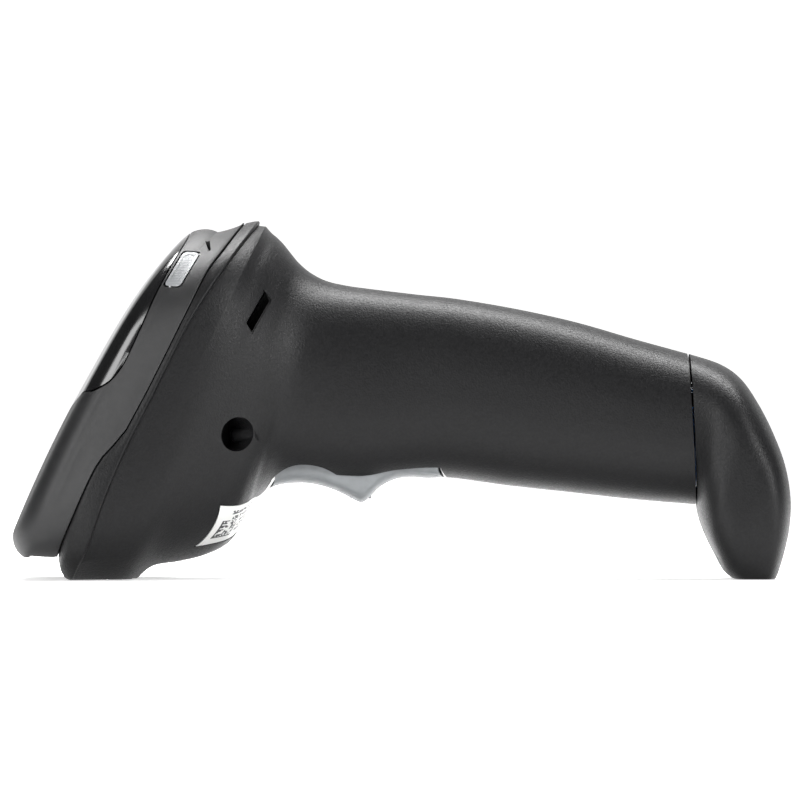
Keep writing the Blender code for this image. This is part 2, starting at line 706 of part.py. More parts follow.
def vent_outline():
    u, n = VENT_PLACE
    return [(u - 1.9, n + 0.9), (u - 1.4, n + 1.4), (u + 0.2, n + 0.2), (u + 1.6, n - 1.5),
            (u + 1.2, n - 1.9), (u - 0.6, n - 0.5)]


def make_panel():
    panel = side_prism("indicator_panel", panel_outline(0.0), -40, 40)
    panel.data.materials.clear()
    panel.data.materials.append(material("gloss"))
    keep_inside(panel, closed_rings("skin", cover_rings()))
    keep_inside(panel, panel_tongue(0.0))
    cut(panel, closed_rings("below", cover_rings(PANEL_THICK, foot=-2.0)))
    for side in (-1, 1):
        y0, y1 = sorted((side * 12.0, side * 40.0))
        cut(panel, side_prism("slot", light_guide_outline(SEAM_GAP), y0, y1))
    return panel


def light_guide_back():
    """y of the light guides' inner faces."""
    return cover_half_width(LIGHT_GUIDE_START) - WALL - LIGHT_GUIDE_REACH


def make_light_guide(name, side):
    y0, y1 = sorted((side * light_guide_back(), side * 40.0))
    guide = side_prism(name, light_guide_outline(0.0), y0, y1)
    guide.data.materials.clear()
    guide.data.materials.append(material("light_guide"))
    keep_inside(guide, closed_rings("skin", cover_rings(0.1)))
    cut(guide, closed_rings("inside", cover_rings(WALL + LIGHT_GUIDE_REACH, foot=-2.0)))
    return guide


def front_opening(grow):
    """Cutter of the window opening through the nose."""
    return front_block("opening", WINDOW_HEIGHT / 2 + grow, WINDOW_LENGTH / 2 + grow, -12.0, 12.0)


# ---------------------------------------------------------------- the housing

def lower_line(x):
    at, z, slope = LOWER_LINE
    return z + slope * (x - at)


def pocket_cutters():
    """Cutters of the trigger's pocket: below the skirts, and through the floor."""
    edge = [(x, smooth_line(SKIRT_EDGE, x)) for x in np.linspace(TRIGGER_START, TRIGGER_END, 36)]
    outline = edge + [(TRIGGER_END, 5.0), (TRIGGER_START, 5.0)]
    half = TRIGGER_HALF_WIDTH + RUN
    return [plate("below_skirts", outline, -40, 40),
            box("floor_cut", (TRIGGER_START, -half, 5.0), (TRIGGER_END, half, 33.0))]


def boss_cutters(side):
    """Bores of the case screws and of the trigger pin in one half."""
    tools = []
    for x, z in CASE_SCREWS:
        if side > 0:
            tools.append(rod("head_bore", (x, SCREW_SEAT, z), (0, 1, 0), 40, SCREW_HEAD + TOUCH))
            tools.append(rod("shank_bore", (x, -1, z), (0, 1, 0), 20, SCREW_HOLE))
        else:
            tools.append(rod("pilot", (x, 1, z), (0, -1, 0), SCREW_REACH + 2, SCREW_HOLE))
    x, z = PIN_PLACE
    tools.append(rod("pin_bore", (x, 0, z), (0, side, 0), PIN_HALF_LENGTH + TOUCH, PIN_RADIUS + TOUCH))
    return tools


def slot_prism(side, grow):
    """The slanted slot's prism, from its blind end out through the side."""
    u, n = SLOT_PLACE
    half = SLOT_LENGTH / 2 + grow
    low = n - SLOT_HEIGHT / 2 - grow
    high = n + SLOT_HEIGHT / 2 + grow
    outline = [(u - half + SLOT_SLANT, low), (u + half, low), (u + half - SLOT_SLANT, high), (u - half, high)]
    y0, y1 = sorted((side * (SLOT_FLOOR_Y - grow), side * 40.0))
    return side_prism("side_slot", outline, y0, y1)


def recess_rod(side, grow):
    """A round blind bore that leans, so that its handle side opens as a scoop."""
    lean = math.radians(RECESS_TILT)
    direction = Vector((-math.sin(lean), -side * math.cos(lean), 0))
    start = Vector((RECESS_PLACE[0], side * RECESS_AXIS_Y, RECESS_PLACE[1])) - direction * 20
    return rod("recess", start, direction, 20.0 + RECESS_DEPTH + grow, RECESS_RADIUS + grow)


def chin_sheet(name, low, high, grow, finish):
    """A sheet that follows the chin between two depths, found by casting lines at the outer form."""
    rings = housing_rings(0.0, whole=True)
    skin = BVHTree.FromPolygons([p for ring in rings for p in ring],
                                grid_faces(len(rings), len(rings[0]), closed=True))
    rise = Vector((LABEL_RISE[0], 0, LABEL_RISE[1])).normalized()
    out = Vector((rise.z, 0, -rise.x))
    foot = Vector((LABEL_FOOT[0], 0, LABEL_FOOT[1]))
    layers = ([], [])
    rows, columns = 6, 24     # an even count, so that no line runs along the ring points at y = 0
    for up in np.linspace(-grow, LABEL_HEIGHT + grow, rows):
        reach = np.interp(up, (0, LABEL_HEIGHT), LABEL_HALF_SPAN) + grow
        for y in np.linspace(-reach, reach, columns):
            droop = np.interp(up, (0, LABEL_HEIGHT), LABEL_DROOP) * (y / reach) ** 2
            start = foot + rise * (up - droop) + out * 20 + Vector((0, y, 0))
            place, normal, _, _ = skin.ray_cast(start, -out)
            if normal.dot(out) < 0:
                normal = -normal
            layers[0].append(place - normal * low)
            layers[1].append(place - normal * high)
    total = rows * columns
    faces = grid_faces(rows, columns) + grid_faces(rows, columns, total, flip=True)
    edge = [c for c in range(columns)] + [r * columns + columns - 1 for r in range(1, rows)]
    edge += [total - 1 - c for c in range(1, columns)] + [r * columns for r in range(rows - 2, 0, -1)]
    faces += [(a, b, b + total, a + total) for a, b in zip(edge, edge[1:] + edge[:1])]
    made = make_object(name, layers[0] + layers[1], faces, finish)
    turn_faces_out(made)
    return made


def make_housing_half(name, side):
    shell = half_shell(name, housing_rings(), housing_rings(WALL), side, "housing")
    bosses = [rod("boss", (x, side * SEAM_GAP / 2, z), (0, side, 0), 40, BOSS_RADIUS) for x, z in CASE_SCREWS]
    x, z = PIN_PLACE
    sleeve_start = TRIGGER_HALF_WIDTH + RUN
    bosses.append(rod("boss", (x, side * sleeve_start, z), (0, side, 0), 20, PIN_SLEEVE_RADIUS))
    bosses += [slot_prism(side, BLIND_WALL), recess_rod(side, BLIND_WALL)]
    for boss in bosses:
        keep_inside(boss, housing_envelope(WALL * 0.4))
        join(shell, boss)
    for tool in boss_cutters(side) + pocket_cutters():
        cut(shell, tool)
    cut(shell, slot_prism(side, 0.0))
    cut(shell, recess_rod(side, 0.0))
    cut(shell, front_opening(BEZEL_WALL + SEAM_GAP))
    return shell


# ---------------------------------------------------------------- trigger group

def trigger_rings(inset, start, end, top_extra):
    """U-shaped rings of the trigger along X, from its silhouette up to its rims."""
    rings = []
    for x in np.linspace(start, end, 34):
        low = smooth_line(TRIGGER_SILHOUETTE, x) + inset
        high = smooth_line(SKIRT_EDGE, x) + TRIGGER_UPSTAND + top_extra
        half = TRIGGER_HALF_WIDTH - inset
        ring = [Vector((x, half, high))]
        bottom_height = min(4.5, high - low - 0.5)
        for i in range(11):
            angle = math.pi * i / 10
            y = half * math.copysign(abs(math.cos(angle)) ** (2 / TRIGGER_SQUARENESS), math.cos(angle))
            z = low + bottom_height * (1 - math.sin(angle) ** (2 / TRIGGER_SQUARENESS))
            ring.append(Vector((x, y, z)))
        ring.append(Vector((x, -half, high)))
        rings.append(ring)
    return rings


def make_trigger():
    start = TRIGGER_START + TRIGGER_FRONT_GAP
    end = TRIGGER_END - RUN
    trigger = closed_rings("trigger", trigger_rings(0.0, start, end, 0.0), "trigger")
    hollow = closed_rings("hollow", trigger_rings(TRIGGER_WALL, start + TRIGGER_WALL, end - TRIGGER_WALL, 3.0))
    cut(trigger, hollow)
    x, z = PIN_PLACE
    half = TRIGGER_HALF_WIDTH - 0.35
    lug = rod("lug", (x, -half, z), (0, 1, 0), 2 * half, LUG_RADIUS)
    floor = smooth_line(TRIGGER_SILHOUETTE, x) + TRIGGER_WALL / 2
    join(lug, box("web", (x - 2.0, -half + 0.5, floor), (x + 2.0, half - 0.5, z - 1.0)))
    join(trigger, lug)
    for place, radius, top in ((SWITCH_PLACE, 2.4, plunger_bottom()), (SPRING_PLACE, 3.4, spring_bottom())):
        floor = smooth_line(TRIGGER_SILHOUETTE, place) + TRIGGER_WALL / 2
        join(trigger, rod("post", (place, 0, floor), (0, 0, 1), top - TOUCH - floor, radius))
    cut(trigger, rod("bore", (x, -half - 5, z), (0, 1, 0), 2 * half + 10, PIN_RADIUS + TOUCH))
    return move_origin(trigger, x, 0, z)


def switch_bottom():
    return TRIGGER_BOARD_HEIGHT - TOUCH - SWITCH_SIZE[2]


def plunger_bottom():
    return switch_bottom() - PLUNGER_LENGTH


def spring_bottom():
    return 27.4


def make_spring():
    """The trigger's return spring, between its seat and the trigger board."""
    low = spring_bottom() + SPRING_WIRE
    high = TRIGGER_BOARD_HEIGHT - TOUCH - SPRING_WIRE
    sides = 6
    turns = int(SPRING_TURNS * 14)
    points = []
    for i in range(turns + 1):
        share = i / turns
        angle = 2 * math.pi * SPRING_TURNS * share
        centre = Vector((SPRING_PLACE + SPRING_RADIUS * math.cos(angle), SPRING_RADIUS * math.sin(angle),
                         low + (high - low) * share))
        outward = Vector((math.cos(angle), math.sin(angle), 0))
        for k in range(sides):
            a = 2 * math.pi * k / sides
            points.append(centre + (outward * math.cos(a) + Vector((0, 0, 1)) * math.sin(a)) * SPRING_WIRE)
    faces = grid_faces(turns + 1, sides, closed=True)
    faces.append(tuple(reversed(range(sides))))
    faces.append(tuple(range(turns * sides, (turns + 1) * sides)))
    spring = make_object("trigger_spring", points, faces, "steel")
    turn_faces_out(spring)
    return spring


def make_trigger_group():
    make_trigger()
    x, z = PIN_PLACE
    rod("trigger_pin", (x, -PIN_HALF_LENGTH, z), (0, 1, 0), 2 * PIN_HALF_LENGTH, PIN_RADIUS, "steel")
    make_spring()
    board = box("trigger_board", (TRIGGER_BOARD_START, -30, TRIGGER_BOARD_HEIGHT),
                (TRIGGER_BOARD_END, 30, TRIGGER_BOARD_HEIGHT + BOARD_THICK), "board")
    keep_inside(board, housing_envelope(WALL + FIT))
    length, width, height = SWITCH_SIZE
    top = TRIGGER_BOARD_HEIGHT - TOUCH
    switch = box("trigger_switch", (SWITCH_PLACE - length / 2, -width / 2, top - height),
                 (SWITCH_PLACE + length / 2, width / 2, top), "inner_plastic")
    cut(switch, rod("bore", (SWITCH_PLACE, 0, top - height - 1), (0, 0, 1), height - 0.2, PLUNGER_RADIUS + TOUCH))
    plunger = rod("switch_plunger", (SWITCH_PLACE, 0, plunger_bottom()), (0, 0, 1), PLUNGER_LENGTH + 0.6,
                  PLUNGER_RADIUS, "cover")
    move_origin(plunger, SWITCH_PLACE, 0, plunger_bottom())


# ---------------------------------------------------------------- handle pieces

def handle_point(x, height, y=0.0):
    """A point over the handle's lower line, at a distance from it."""
    slope = math.atan(LOWER_LINE[2])
    return Vector((x - math.sin(slope) * height, y, lower_line(x) + math.cos(slope) * height))


def handle_box(name, x0, x1, half_width, low, high, finish="inner_plastic", y_middle=0.0):
    """A box lying along the handle's lower line."""
    points = [handle_point(x, height, y_middle + y) for height in (low, high)
              for x, y in ((x0, -half_width), (x1, -half_width), (x1, half_width), (x0, half_width))]
    faces = [(0, 3, 2, 1), (4, 5, 6, 7), (0, 1, 5, 4), (1, 2, 6, 5), (2, 3, 7, 6), (3, 0, 4, 7)]
    made = make_object(name, points, faces, finish)
    turn_faces_out(made)
    return made


def handle_axis():
    return (handle_point(1, 0) - handle_point(0, 0)).normalized()


def make_battery():
    start = handle_point(CELL_START, CELL_HEIGHT)
    profile = [(0, CELL_RADIUS - 0.8), (0.8, CELL_RADIUS), (CELL_LENGTH - 2.2, CELL_RADIUS),
               (CELL_LENGTH - 1.4, CELL_RADIUS - 0.8), (CELL_LENGTH - 1.4, 3.0), (CELL_LENGTH, 3.0)]
    turned("battery_cell", profile, start, handle_axis(), "cell", 24)
    cradle = handle_box("battery_cradle", CRADLE_START, CRADLE_END, 30, CELL_HEIGHT - 2.0, CRADLE_TOP)
    keep_inside(cradle, housing_envelope(WALL + FIT))
    boss = handle_box("boss", CRADLE_END - 7.0, CRADLE_END, 4.0, CRADLE_TOP - 0.5, CRADLE_TOP + 6.0)
    keep_inside(boss, housing_envelope(WALL + FIT))
    join(cradle, boss)
    cut(cradle, rod("cell_bore", start - handle_axis() * 1.2, handle_axis(), CELL_LENGTH + 5, CELL_RADIUS + FIT, sides=28))
    cut(cradle, rod("screw_bore", end_screw_start(), -handle_axis(), 40, SCREW_HOLE))
    for x in (CRADLE_START + 6, CRADLE_END - 14):
        cut(cradle, rod("bore", handle_point(x, CRADLE_TOP - 1.0, 8.0), handle_up(), 8, SCREW_HOLE * 0.9, sides=12))


def handle_up():
    return (handle_point(0, 1) - handle_point(0, 0)).normalized()


def end_screw_start():
    return handle_point(CRADLE_END + 16.0, CRADLE_TOP + END_SCREW_LIFT)


def make_contacts():
    back = handle_axis() * -1
    plate_at = handle_point(CELL_START, CELL_HEIGHT) + back * TOUCH
    rod("battery_contact_front", plate_at, back, CONTACT_THICK, 6.0, "steel")
    tip = handle_point(CELL_START, CELL_HEIGHT) + handle_axis() * (CELL_LENGTH + TOUCH)
    profile = [(0, 2.2), (1.6, 2.8), (1.6, 5.0), (2.2, 5.0)]
    turned("battery_contact_rear", profile, tip, handle_axis(), "steel")


def make_boards():
    low = CRADLE_TOP + TOUCH
    high = low + BOARD_THICK
    board = handle_box("main_board", BOARD_START, BOARD_END - 1.0, BOARD_HALF_WIDTH, low, high, "board")
    screw_places = (CRADLE_START + 6, CRADLE_END - 14)
    for i, x in enumerate(screw_places):
        cut(board, rod("bore", handle_point(x, low - 1, 8.0), handle_up(), 5, SCREW_HOLE, sides=12))
        profile = [(0, 0.9), (high - CRADLE_TOP + 0.7 + TOUCH, 0.9), (high - CRADLE_TOP + 0.7 + TOUCH, 2.0),
                   (high - CRADLE_TOP + 1.9 + TOUCH, 2.0)]
        turned(f"board_screw_{i + 1}", profile, handle_point(x, CRADLE_TOP - 0.7, 8.0), handle_up(), "steel", 12)
    top = high + TOUCH
    handle_box("processor_shield", 20, 34, 7.0, top, top + SHIELD_HEIGHT, "steel")
    handle_box("radio_module", -8, 5, 7.5, top, top + 1.8, "gold")
    rod("beeper", handle_point(11.5, top, 0), handle_up(), BEEPER_HEIGHT, BEEPER_RADIUS, "inner_plastic")


# ---------------------------------------------------------------- tail

def make_tail():
    outer = [station_ring(row, 0.0, whole=True) for row in tail_rows()]
    inner = [station_ring(row, WALL, whole=True) for row in tail_rows()]
    for point in inner[-1]:
        point.z = WALL
    cap = ring_shell("end_cap", outer, inner, "housing", closed_end=True)
    start = end_screw_start()
    axis = handle_axis()
    boss = rod("boss", start - axis * 6.0, axis, 20, BOSS_RADIUS + 0.6)
    keep_inside(boss, closed_rings("tail_skin", [station_ring(row, WALL * 0.4, True) for row in tail_rows()]))
    join(cap, boss)
    cut(cap, rod("head_bore", start, axis, 30, SCREW_HEAD + TOUCH))
    cut(cap, rod("shank_bore", start - axis * 10, axis, 20, SCREW_HOLE))
    for side in (-1, 1):
        place, inward = contact_place(side)
        cut(cap, rod("contact_bore", place - inward * 5, inward, 9, 1.5 + TOUCH, sides=12))
    return cap


def contact_place(side):
    """Where a charging contact sits in the tail's inner face, and the way in."""
    row = TAIL_STATIONS[6]
    next_row = TAIL_STATIONS[7]
    here = Vector((row[2], 0, row[3]))
    along = (Vector((next_row[2], 0, next_row[3])) - here).normalized()
    inward = Vector((-along.z, 0, along.x))
    if inward.x < 0:
        inward = -inward
    return here + Vector((0, side * 5.0, 0)), inward


def make_tail_pieces():
    rows = smooth_rows(housing_rows()[-3:], 4)
    seat = [rows[-3], rows[-2], rows[-1]]
    gasket_outer = [station_ring(row, WALL + TOUCH, whole=True) for row in seat]
    gasket_inner = [station_ring(row, WALL + TOUCH + GASKET_WALL, whole=True) for row in seat]
    gasket = ring_shell("end_cap_gasket", gasket_outer, gasket_inner, "rubber", closed_end=False)
    start = end_screw_start()
    axis = handle_axis()
    cut(gasket, rod("screw_relief", start - axis * 20, axis, 40, SCREW_HEAD + TOUCH))
    reach = 22.0
    profile = [(0, SCREW_SHANK), (reach, SCREW_SHANK), (reach, SCREW_HEAD), (reach + SCREW_HEAD_HEIGHT, SCREW_HEAD)]
    turned("end_cap_screw", profile, start - axis * (reach - TOUCH), axis, "steel")
    for name, side in (("charge_contact_left", -1), ("charge_contact_right", 1)):
        place, inward = contact_place(side)
        profile = [(0, 1.3), (0.3, 1.5), (WALL + 1.0, 1.5), (WALL + 1.0, 2.5), (WALL + 1.8, 2.5)]
        turned(name, profile, place + inward * 0.25, inward, "gold", 16)


# ---------------------------------------------------------------- front pieces

def window_seat():
    """Depth of the scan window's outer face."""
    return BEZEL_FRONT + BEZEL_DEPTH + GASKET_THICK + 2 * TOUCH


def make_front():
    half_a = WINDOW_HEIGHT / 2
    half_y = WINDOW_LENGTH / 2
    bezel = front_block("window_bezel", half_a + BEZEL_WALL, half_y + BEZEL_WALL, BEZEL_FRONT,
                        BEZEL_FRONT + BEZEL_DEPTH, "cover")
    cut(bezel, front_block("hole", half_a, half_y, -1, 12))
    gasket_low = BEZEL_FRONT + BEZEL_DEPTH + TOUCH
    gasket = front_block("window_gasket", half_a + BEZEL_WALL, half_y + BEZEL_WALL, gasket_low,
                         gasket_low + GASKET_THICK, "rubber")
    cut(gasket, front_block("hole", half_a - 0.4, half_y - 0.4, -1, 12))
    seat = window_seat()
    front_block("scan_window", half_a + BEZEL_WALL, half_y + BEZEL_WALL, seat, seat + WINDOW_THICK, "window")
    make_engine(seat + WINDOW_THICK)


def make_engine(window_back):
    """The scan engine behind the window, on its frame across the head."""
    face = window_back + ENGINE_STANDOFF
    half_a = ENGINE_HEIGHT / 2
    half_y = ENGINE_LENGTH / 2
    frame_low = face + ENGINE_DEPTH + TOUCH
    wide = front_block("engine_frame", half_a + 3.5, 45, frame_low, frame_low + FRAME_THICK)
    keep_inside(wide, housing_envelope(WALL + FIT))
    front_block("scan_engine", half_a, half_y, face, face + ENGINE_DEPTH, "inner_plastic")
    engine = bpy.data.objects["scan_engine"]
    cut(engine, front_rod("lens_bore", 0, 0, face - 1, 6.0, LENS_RADIUS + TOUCH, "cover"))
    front_rod("lens_barrel", 0, 0, face - LENS_DEPTH + 4.7, LENS_DEPTH, LENS_RADIUS, "cover")
    board_low = frame_low + FRAME_THICK + TOUCH
    front_block("sensor_board", half_a - 0.5, half_y - 1.0, board_low, board_low + SENSOR_BOARD_THICK, "board")
    for name, y in (("illuminator_left", -9.5), ("illuminator_right", 9.5)):
        front_rod(name, 0, y, face - TOUCH - 1.8, 1.8, ILLUMINATOR_RADIUS, "light_guide")
    front_rod("aimer_lens", 4.0, 5.2, face - TOUCH - 1.2, 1.2, AIMER_RADIUS, "light_guide", 12)
    for i, y in enumerate((-half_y + 2.5, half_y - 2.5)):
        start = board_low + SENSOR_BOARD_THICK + TOUCH
        cut(bpy.data.objects["engine_frame"], front_rod("bore", 0, y, frame_low - 1, 5, SCREW_HOLE, "steel", 12))
        cut(bpy.data.objects["sensor_board"], front_rod("bore", 0, y, board_low - 1, 5, SCREW_HOLE, "steel", 12))
        cut(engine, front_rod("bore", 0, y, frame_low - 5, 6, SCREW_HOLE, "steel", 12))
        length = start - frame_low + 4.0
        profile = [(0, 1.0), (length, 1.0), (length, 2.0), (length + 1.2, 2.0)]
        place = front_point(0, frame_low - 4.0, y)
        direction = front_point(0, frame_low - 3.0, y) - place
        turned(f"engine_screw_{i + 1}", profile, place, direction, "steel", 12)


def make_indicator_group():
    """The small board under the indicator panel, with an emitter behind each light guide."""
    low = 6.2
    corners = [head_point(u, n) for n in (low, low + BOARD_THICK) for u in (13.0, 26.0)]
    flat = [(corners[0][0], corners[0][2]), (corners[2][0], corners[2][2]),
            (corners[3][0], corners[3][2]), (corners[1][0], corners[1][2])]
    board = plate("indicator_board", flat, -40, 40, "board")
    keep_inside(board, closed_rings("inside", cover_rings(WALL + FIT, foot=-2.0)))
    top = low + BOARD_THICK + TOUCH
    led_start = 17.2
    led_end = led_start + LED_LENGTH
    outer = light_guide_back() - TOUCH
    for name, side in (("indicator_led_left", -1), ("indicator_led_right", 1)):
        outline = [(led_start, top), (led_start, top + 2.4), (led_end, top + 2.4), (led_end, top)]
        y0, y1 = sorted((side * (outer - 2.6), side * outer))
        made = side_prism(name, outline, y0, y1)
        made.data.materials.clear()
        made.data.materials.append(material("light_guide"))


def make_case_screws():
    for i, (x, z) in enumerate(CASE_SCREWS):
        reach = SCREW_REACH + SCREW_SEAT
        profile = [(0, SCREW_SHANK), (reach + TOUCH, SCREW_SHANK), (reach + TOUCH, SCREW_HEAD),
                   (reach + TOUCH + SCREW_HEAD_HEIGHT, SCREW_HEAD)]
        turned(f"case_screw_{i + 1}", profile, (x, -SCREW_REACH, z), (0, 1, 0), "steel", 16)


def main():
    for thing in list(bpy.data.objects):
        bpy.data.objects.remove(thing, do_unlink=True)
    left = make_housing_half("housing_left", -1)
    right = make_housing_half("housing_right", 1)
    for half in (left, right):
        cut(half, chin_sheet("label_recess", -0.5, LABEL_SINK, TOUCH, "housing"))
    chin_sheet("rating_label", LABEL_SINK - TOUCH - LABEL_THICK, LABEL_SINK - TOUCH, 0.0, "label")
    make_cover()
    make_panel()
    make_light_guide("light_guide_left", -1)
    make_light_guide("light_guide_right", 1)
    make_trigger_group()
    make_battery()
    make_contacts()
    make_boards()
    make_tail()
    make_tail_pieces()
    make_front()
    make_indicator_group()
    make_case_screws()


main()
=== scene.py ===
import math

import bmesh
import bpy
import numpy as np
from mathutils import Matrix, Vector
from mathutils.bvhtree import BVHTree


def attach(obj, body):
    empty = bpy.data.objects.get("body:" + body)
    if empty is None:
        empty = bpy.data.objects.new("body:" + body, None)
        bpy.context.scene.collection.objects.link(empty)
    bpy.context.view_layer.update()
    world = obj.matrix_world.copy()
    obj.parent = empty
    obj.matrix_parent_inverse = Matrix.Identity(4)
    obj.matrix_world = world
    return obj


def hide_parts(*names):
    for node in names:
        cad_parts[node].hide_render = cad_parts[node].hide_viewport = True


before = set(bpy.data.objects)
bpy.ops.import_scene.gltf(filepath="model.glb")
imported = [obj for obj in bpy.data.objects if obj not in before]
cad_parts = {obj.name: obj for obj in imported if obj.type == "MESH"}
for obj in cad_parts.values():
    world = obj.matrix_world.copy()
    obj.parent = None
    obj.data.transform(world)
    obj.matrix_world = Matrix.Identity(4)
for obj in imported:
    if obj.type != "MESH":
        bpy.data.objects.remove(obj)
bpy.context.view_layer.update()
print("frame loaded")

mm = 0.001

# the scanner's own form, in millimetres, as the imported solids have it
body = {
    "headHalfWidth": 33.0,
    "handleHalfWidth": 15.6,
    "tailHalfWidth": 21.0,
    "wall": 2.2,
    "seamGap": 0.3,
    "touch": 0.3,
    "run": 0.45,
    "flangeStep": 0.9,
    "flangeRound": 0.55,
    "bumperReach": 4.0,
    "bumperDip": 1.5,
    "bossDepth": 0.4,
}

# the head's frame: u runs along the cover rim from beak to nose, n stands out of it
head = {
    "beak": (-32.0, 82.0),
    "along": (-0.490, -0.872),
    "out": (-0.872, 0.490),
    "rimShape": (2.2, 5.6, 0.13),
    "seam": [(0, 3.0), (10, 4.0), (16, 4.7), (26, 4.2), (42, 3.3), (54, 2.9), (58, 3.1), (65, 4.7),
             (70, 4.7), (78, 4.0), (87, 3.0), (93, 1.9)],
    "crease": [(0, -0.3), (15, 1.3), (28, 2.0), (44, 1.2), (62, 0.3), (73, -1.0), (85, -3.0), (93, -3.0)],
}

# top x, z, bottom x, z, share of width, squareness at top and bottom, egg
headStations = [
    (-30.8, 80.8, -69.5, -0.5, 0.94, 2.2, 5.2, 0.12),
    (-29.6, 79.4, -62.8, -0.3, 0.87, 2.2, 4.4, 0.12),
    (-28.2, 78.2, -56.8, 2.9, 0.78, 2.2, 3.6, 0.11),
    (-26.8, 76.8, -50.5, 3.9, 0.66, 2.2, 3.1, 0.10),
    (-25.2, 74.8, -44.5, 5.4, 0.54, 2.2, 2.8, 0.09),
    (-23.3, 72.5, -39.4, 8.1, 0.41, 2.2, 2.7, 0.08),
    (-20.6, 70.2, -36.2, 12.6, 0.29, 2.25, 2.6, 0.06),
    (-16.9, 68.3, -33.6, 17.4, 0.19, 2.3, 2.5, 0.04),
    (-12.2, 67.2, -28.5, 21.4, 0.11, 2.35, 2.4, 0.02),
    (-7.2, 66.5, -20.0, 21.8, 0.05, 2.4, 2.4, 0.0),
    (-1.5, 65.8, -9.0, 21.2, 0.02, 2.4, 2.4, 0.0),
    (4.5, 65.1, -0.5, 22.6, 0.0, 2.4, 2.4, 0.0),
    (13.5, 64.1, 10.5, 23.1, 0.0, 2.4, 2.4, 0.0),
    (27.0, 61.8, 24.5, 21.3, 0.0, 2.4, 2.4, 0.0),
    (40.5, 58.8, 39.0, 19.7, 0.01, 2.4, 2.4, 0.0),
    (54.0, 54.9, 53.5, 18.1, 0.03, 2.4, 2.4, 0.0),
    (66.0, 51.6, 67.8, 16.9, 0.05, 2.4, 2.5, 0.0),
]
tailStations = [
    (66.5, 51.5, 68.2, 16.5, 0.80, 2.5, 2.5, 0.0),
    (73.5, 49.2, 68.6, 14.4, 0.92, 2.6, 3.2, 0.0),
    (78.3, 45.8, 69.3, 12.2, 0.97, 2.8, 3.9, 0.0),
    (82.2, 40.2, 70.2, 10.0, 1.0, 3.0, 4.5, 0.0),
    (85.6, 33.5, 71.1, 8.0, 1.0, 3.2, 4.9, 0.0),
    (88.3, 26.2, 72.1, 6.1, 1.0, 3.4, 5.1, 0.0),
    (89.6, 18.8, 73.0, 4.4, 0.98, 3.4, 5.2, 0.0),
    (89.4, 12.0, 73.8, 2.9, 0.95, 3.4, 5.2, 0.0),
    (88.2, 6.0, 74.7, 1.5, 0.91, 3.4, 5.2, 0.0),
    (86.8, 1.4, 76.0, 0.3, 0.86, 3.4, 5.2, 0.0),
    (85.9, -0.3, 77.0, -0.3, 0.83, 3.4, 5.2, 0.0),
]
housingSteps = 5
tailSteps = 6
ringPoints = 60

cover = {
    "topHeight": 17.1,
    "rearDrop": 4.2,
    "noseDrop": 2.5,
    "edgeRadius": 4.5,
    "crown": 2.0,
    "rearFoot": 2.2,
    "rearHead": 7.0,
    "noseFoot": 90.3,
    "noseHead": 93.6,
    "footRound": 0.25,
    "footDrop": 0.16,
    "sideLean": 0.9,
    "draft": 0.6,
    "sideSteps": (0.12, 0.25, 0.4, 0.55, 0.7, 0.85, 1.0),
    "crownSteps": (1.0, 2.5, 4.5, 7.0, 10.0, 13.0, 16.0, 19.0, 22.0, 25.0),
}


# the flange round the rim. lip: rear and nose end, drawn in, below the seam; side: share down, nose end
flange = {
    "lip": [(2.75, 89.8, 0.75, 0.02), (2.45, 90.1, 0.46, 0.08), (2.25, 90.3, 0.32, 0.25)],
    "side": [(0.12, 90.9), (0.25, 91.6), (0.4, 92.3), (0.7, 92.8)],
    "lipRear": 2.2, "rear": 0.2, "nose": 93.2, "creaseNose": 93.0, "noseLean": 0.3, "sideLean": 0.3,
    "sideFoot": 1.0, "roundFoot": 0.75, "creaseFoot": 0.05, "roundSteps": (0, 20, 40, 60, 80),
}


# ---- form functions

def toLinear(hexColour):
    out = []
    for i in (0, 2, 4):
        c = int(hexColour[i:i + 2], 16) / 255
        out.append(c / 12.92 if c <= 0.04045 else ((c + 0.055) / 1.055) ** 2.4)
    return (*out, 1.0)


def smoothLine(points, x):
    xs = [p[0] for p in points]
    ys = [p[1] for p in points]
    x = min(max(x, xs[0]), xs[-1])
    i = min(max(int(np.searchsorted(xs, x)) - 1, 0), len(xs) - 2)
    span = xs[i + 1] - xs[i]
    t = (x - xs[i]) / span
    before = max(i - 1, 0)
    after = min(i + 2, len(xs) - 1)
    slopeA = (ys[i + 1] - ys[before]) / (xs[i + 1] - xs[before]) * span
    slopeB = (ys[after] - ys[i]) / (xs[after] - xs[i]) * span
    return (ys[i] * (2 * t**3 - 3 * t**2 + 1) + slopeA * (t**3 - 2 * t**2 + t)
            + ys[i + 1] * (3 * t**2 - 2 * t**3) + slopeB * (t**3 - t**2))


def smoothRows(rows, steps):
    rows = np.array(rows, dtype=float)
    out = []
    for i in range(len(rows) - 1):
        before = rows[max(i - 1, 0)]
        after = rows[min(i + 2, len(rows) - 1)]
        slopeA = (rows[i + 1] - before) / 2
        slopeB = (after - rows[i]) / 2
        for step in range(steps):
            t = step / steps
            out.append(rows[i] * (2 * t**3 - 3 * t**2 + 1) + slopeA * (t**3 - 2 * t**2 + t)
                       + rows[i + 1] * (3 * t**2 - 2 * t**3) + slopeB * (t**3 - t**2))
    out.append(rows[-1])
    return out


def meshPiece(name, points, faces, smooth=32.0):
    mesh = bpy.data.meshes.new(name)
    mesh.from_pydata([tuple(float(c) * mm for c in p) for p in points], [], [tuple(f) for f in faces])
    mesh.validate()
    made = bpy.data.objects.new(name, mesh)
    bpy.context.scene.collection.objects.link(made)
    work = bmesh.new()
    work.from_mesh(mesh)
    bmesh.ops.recalc_face_normals(work, faces=work.faces)
    work.to_mesh(mesh)
    work.free()
    if smooth:
        mesh.shade_smooth()
        mesh.set_sharp_from_angle(angle=math.radians(smooth))
    return made


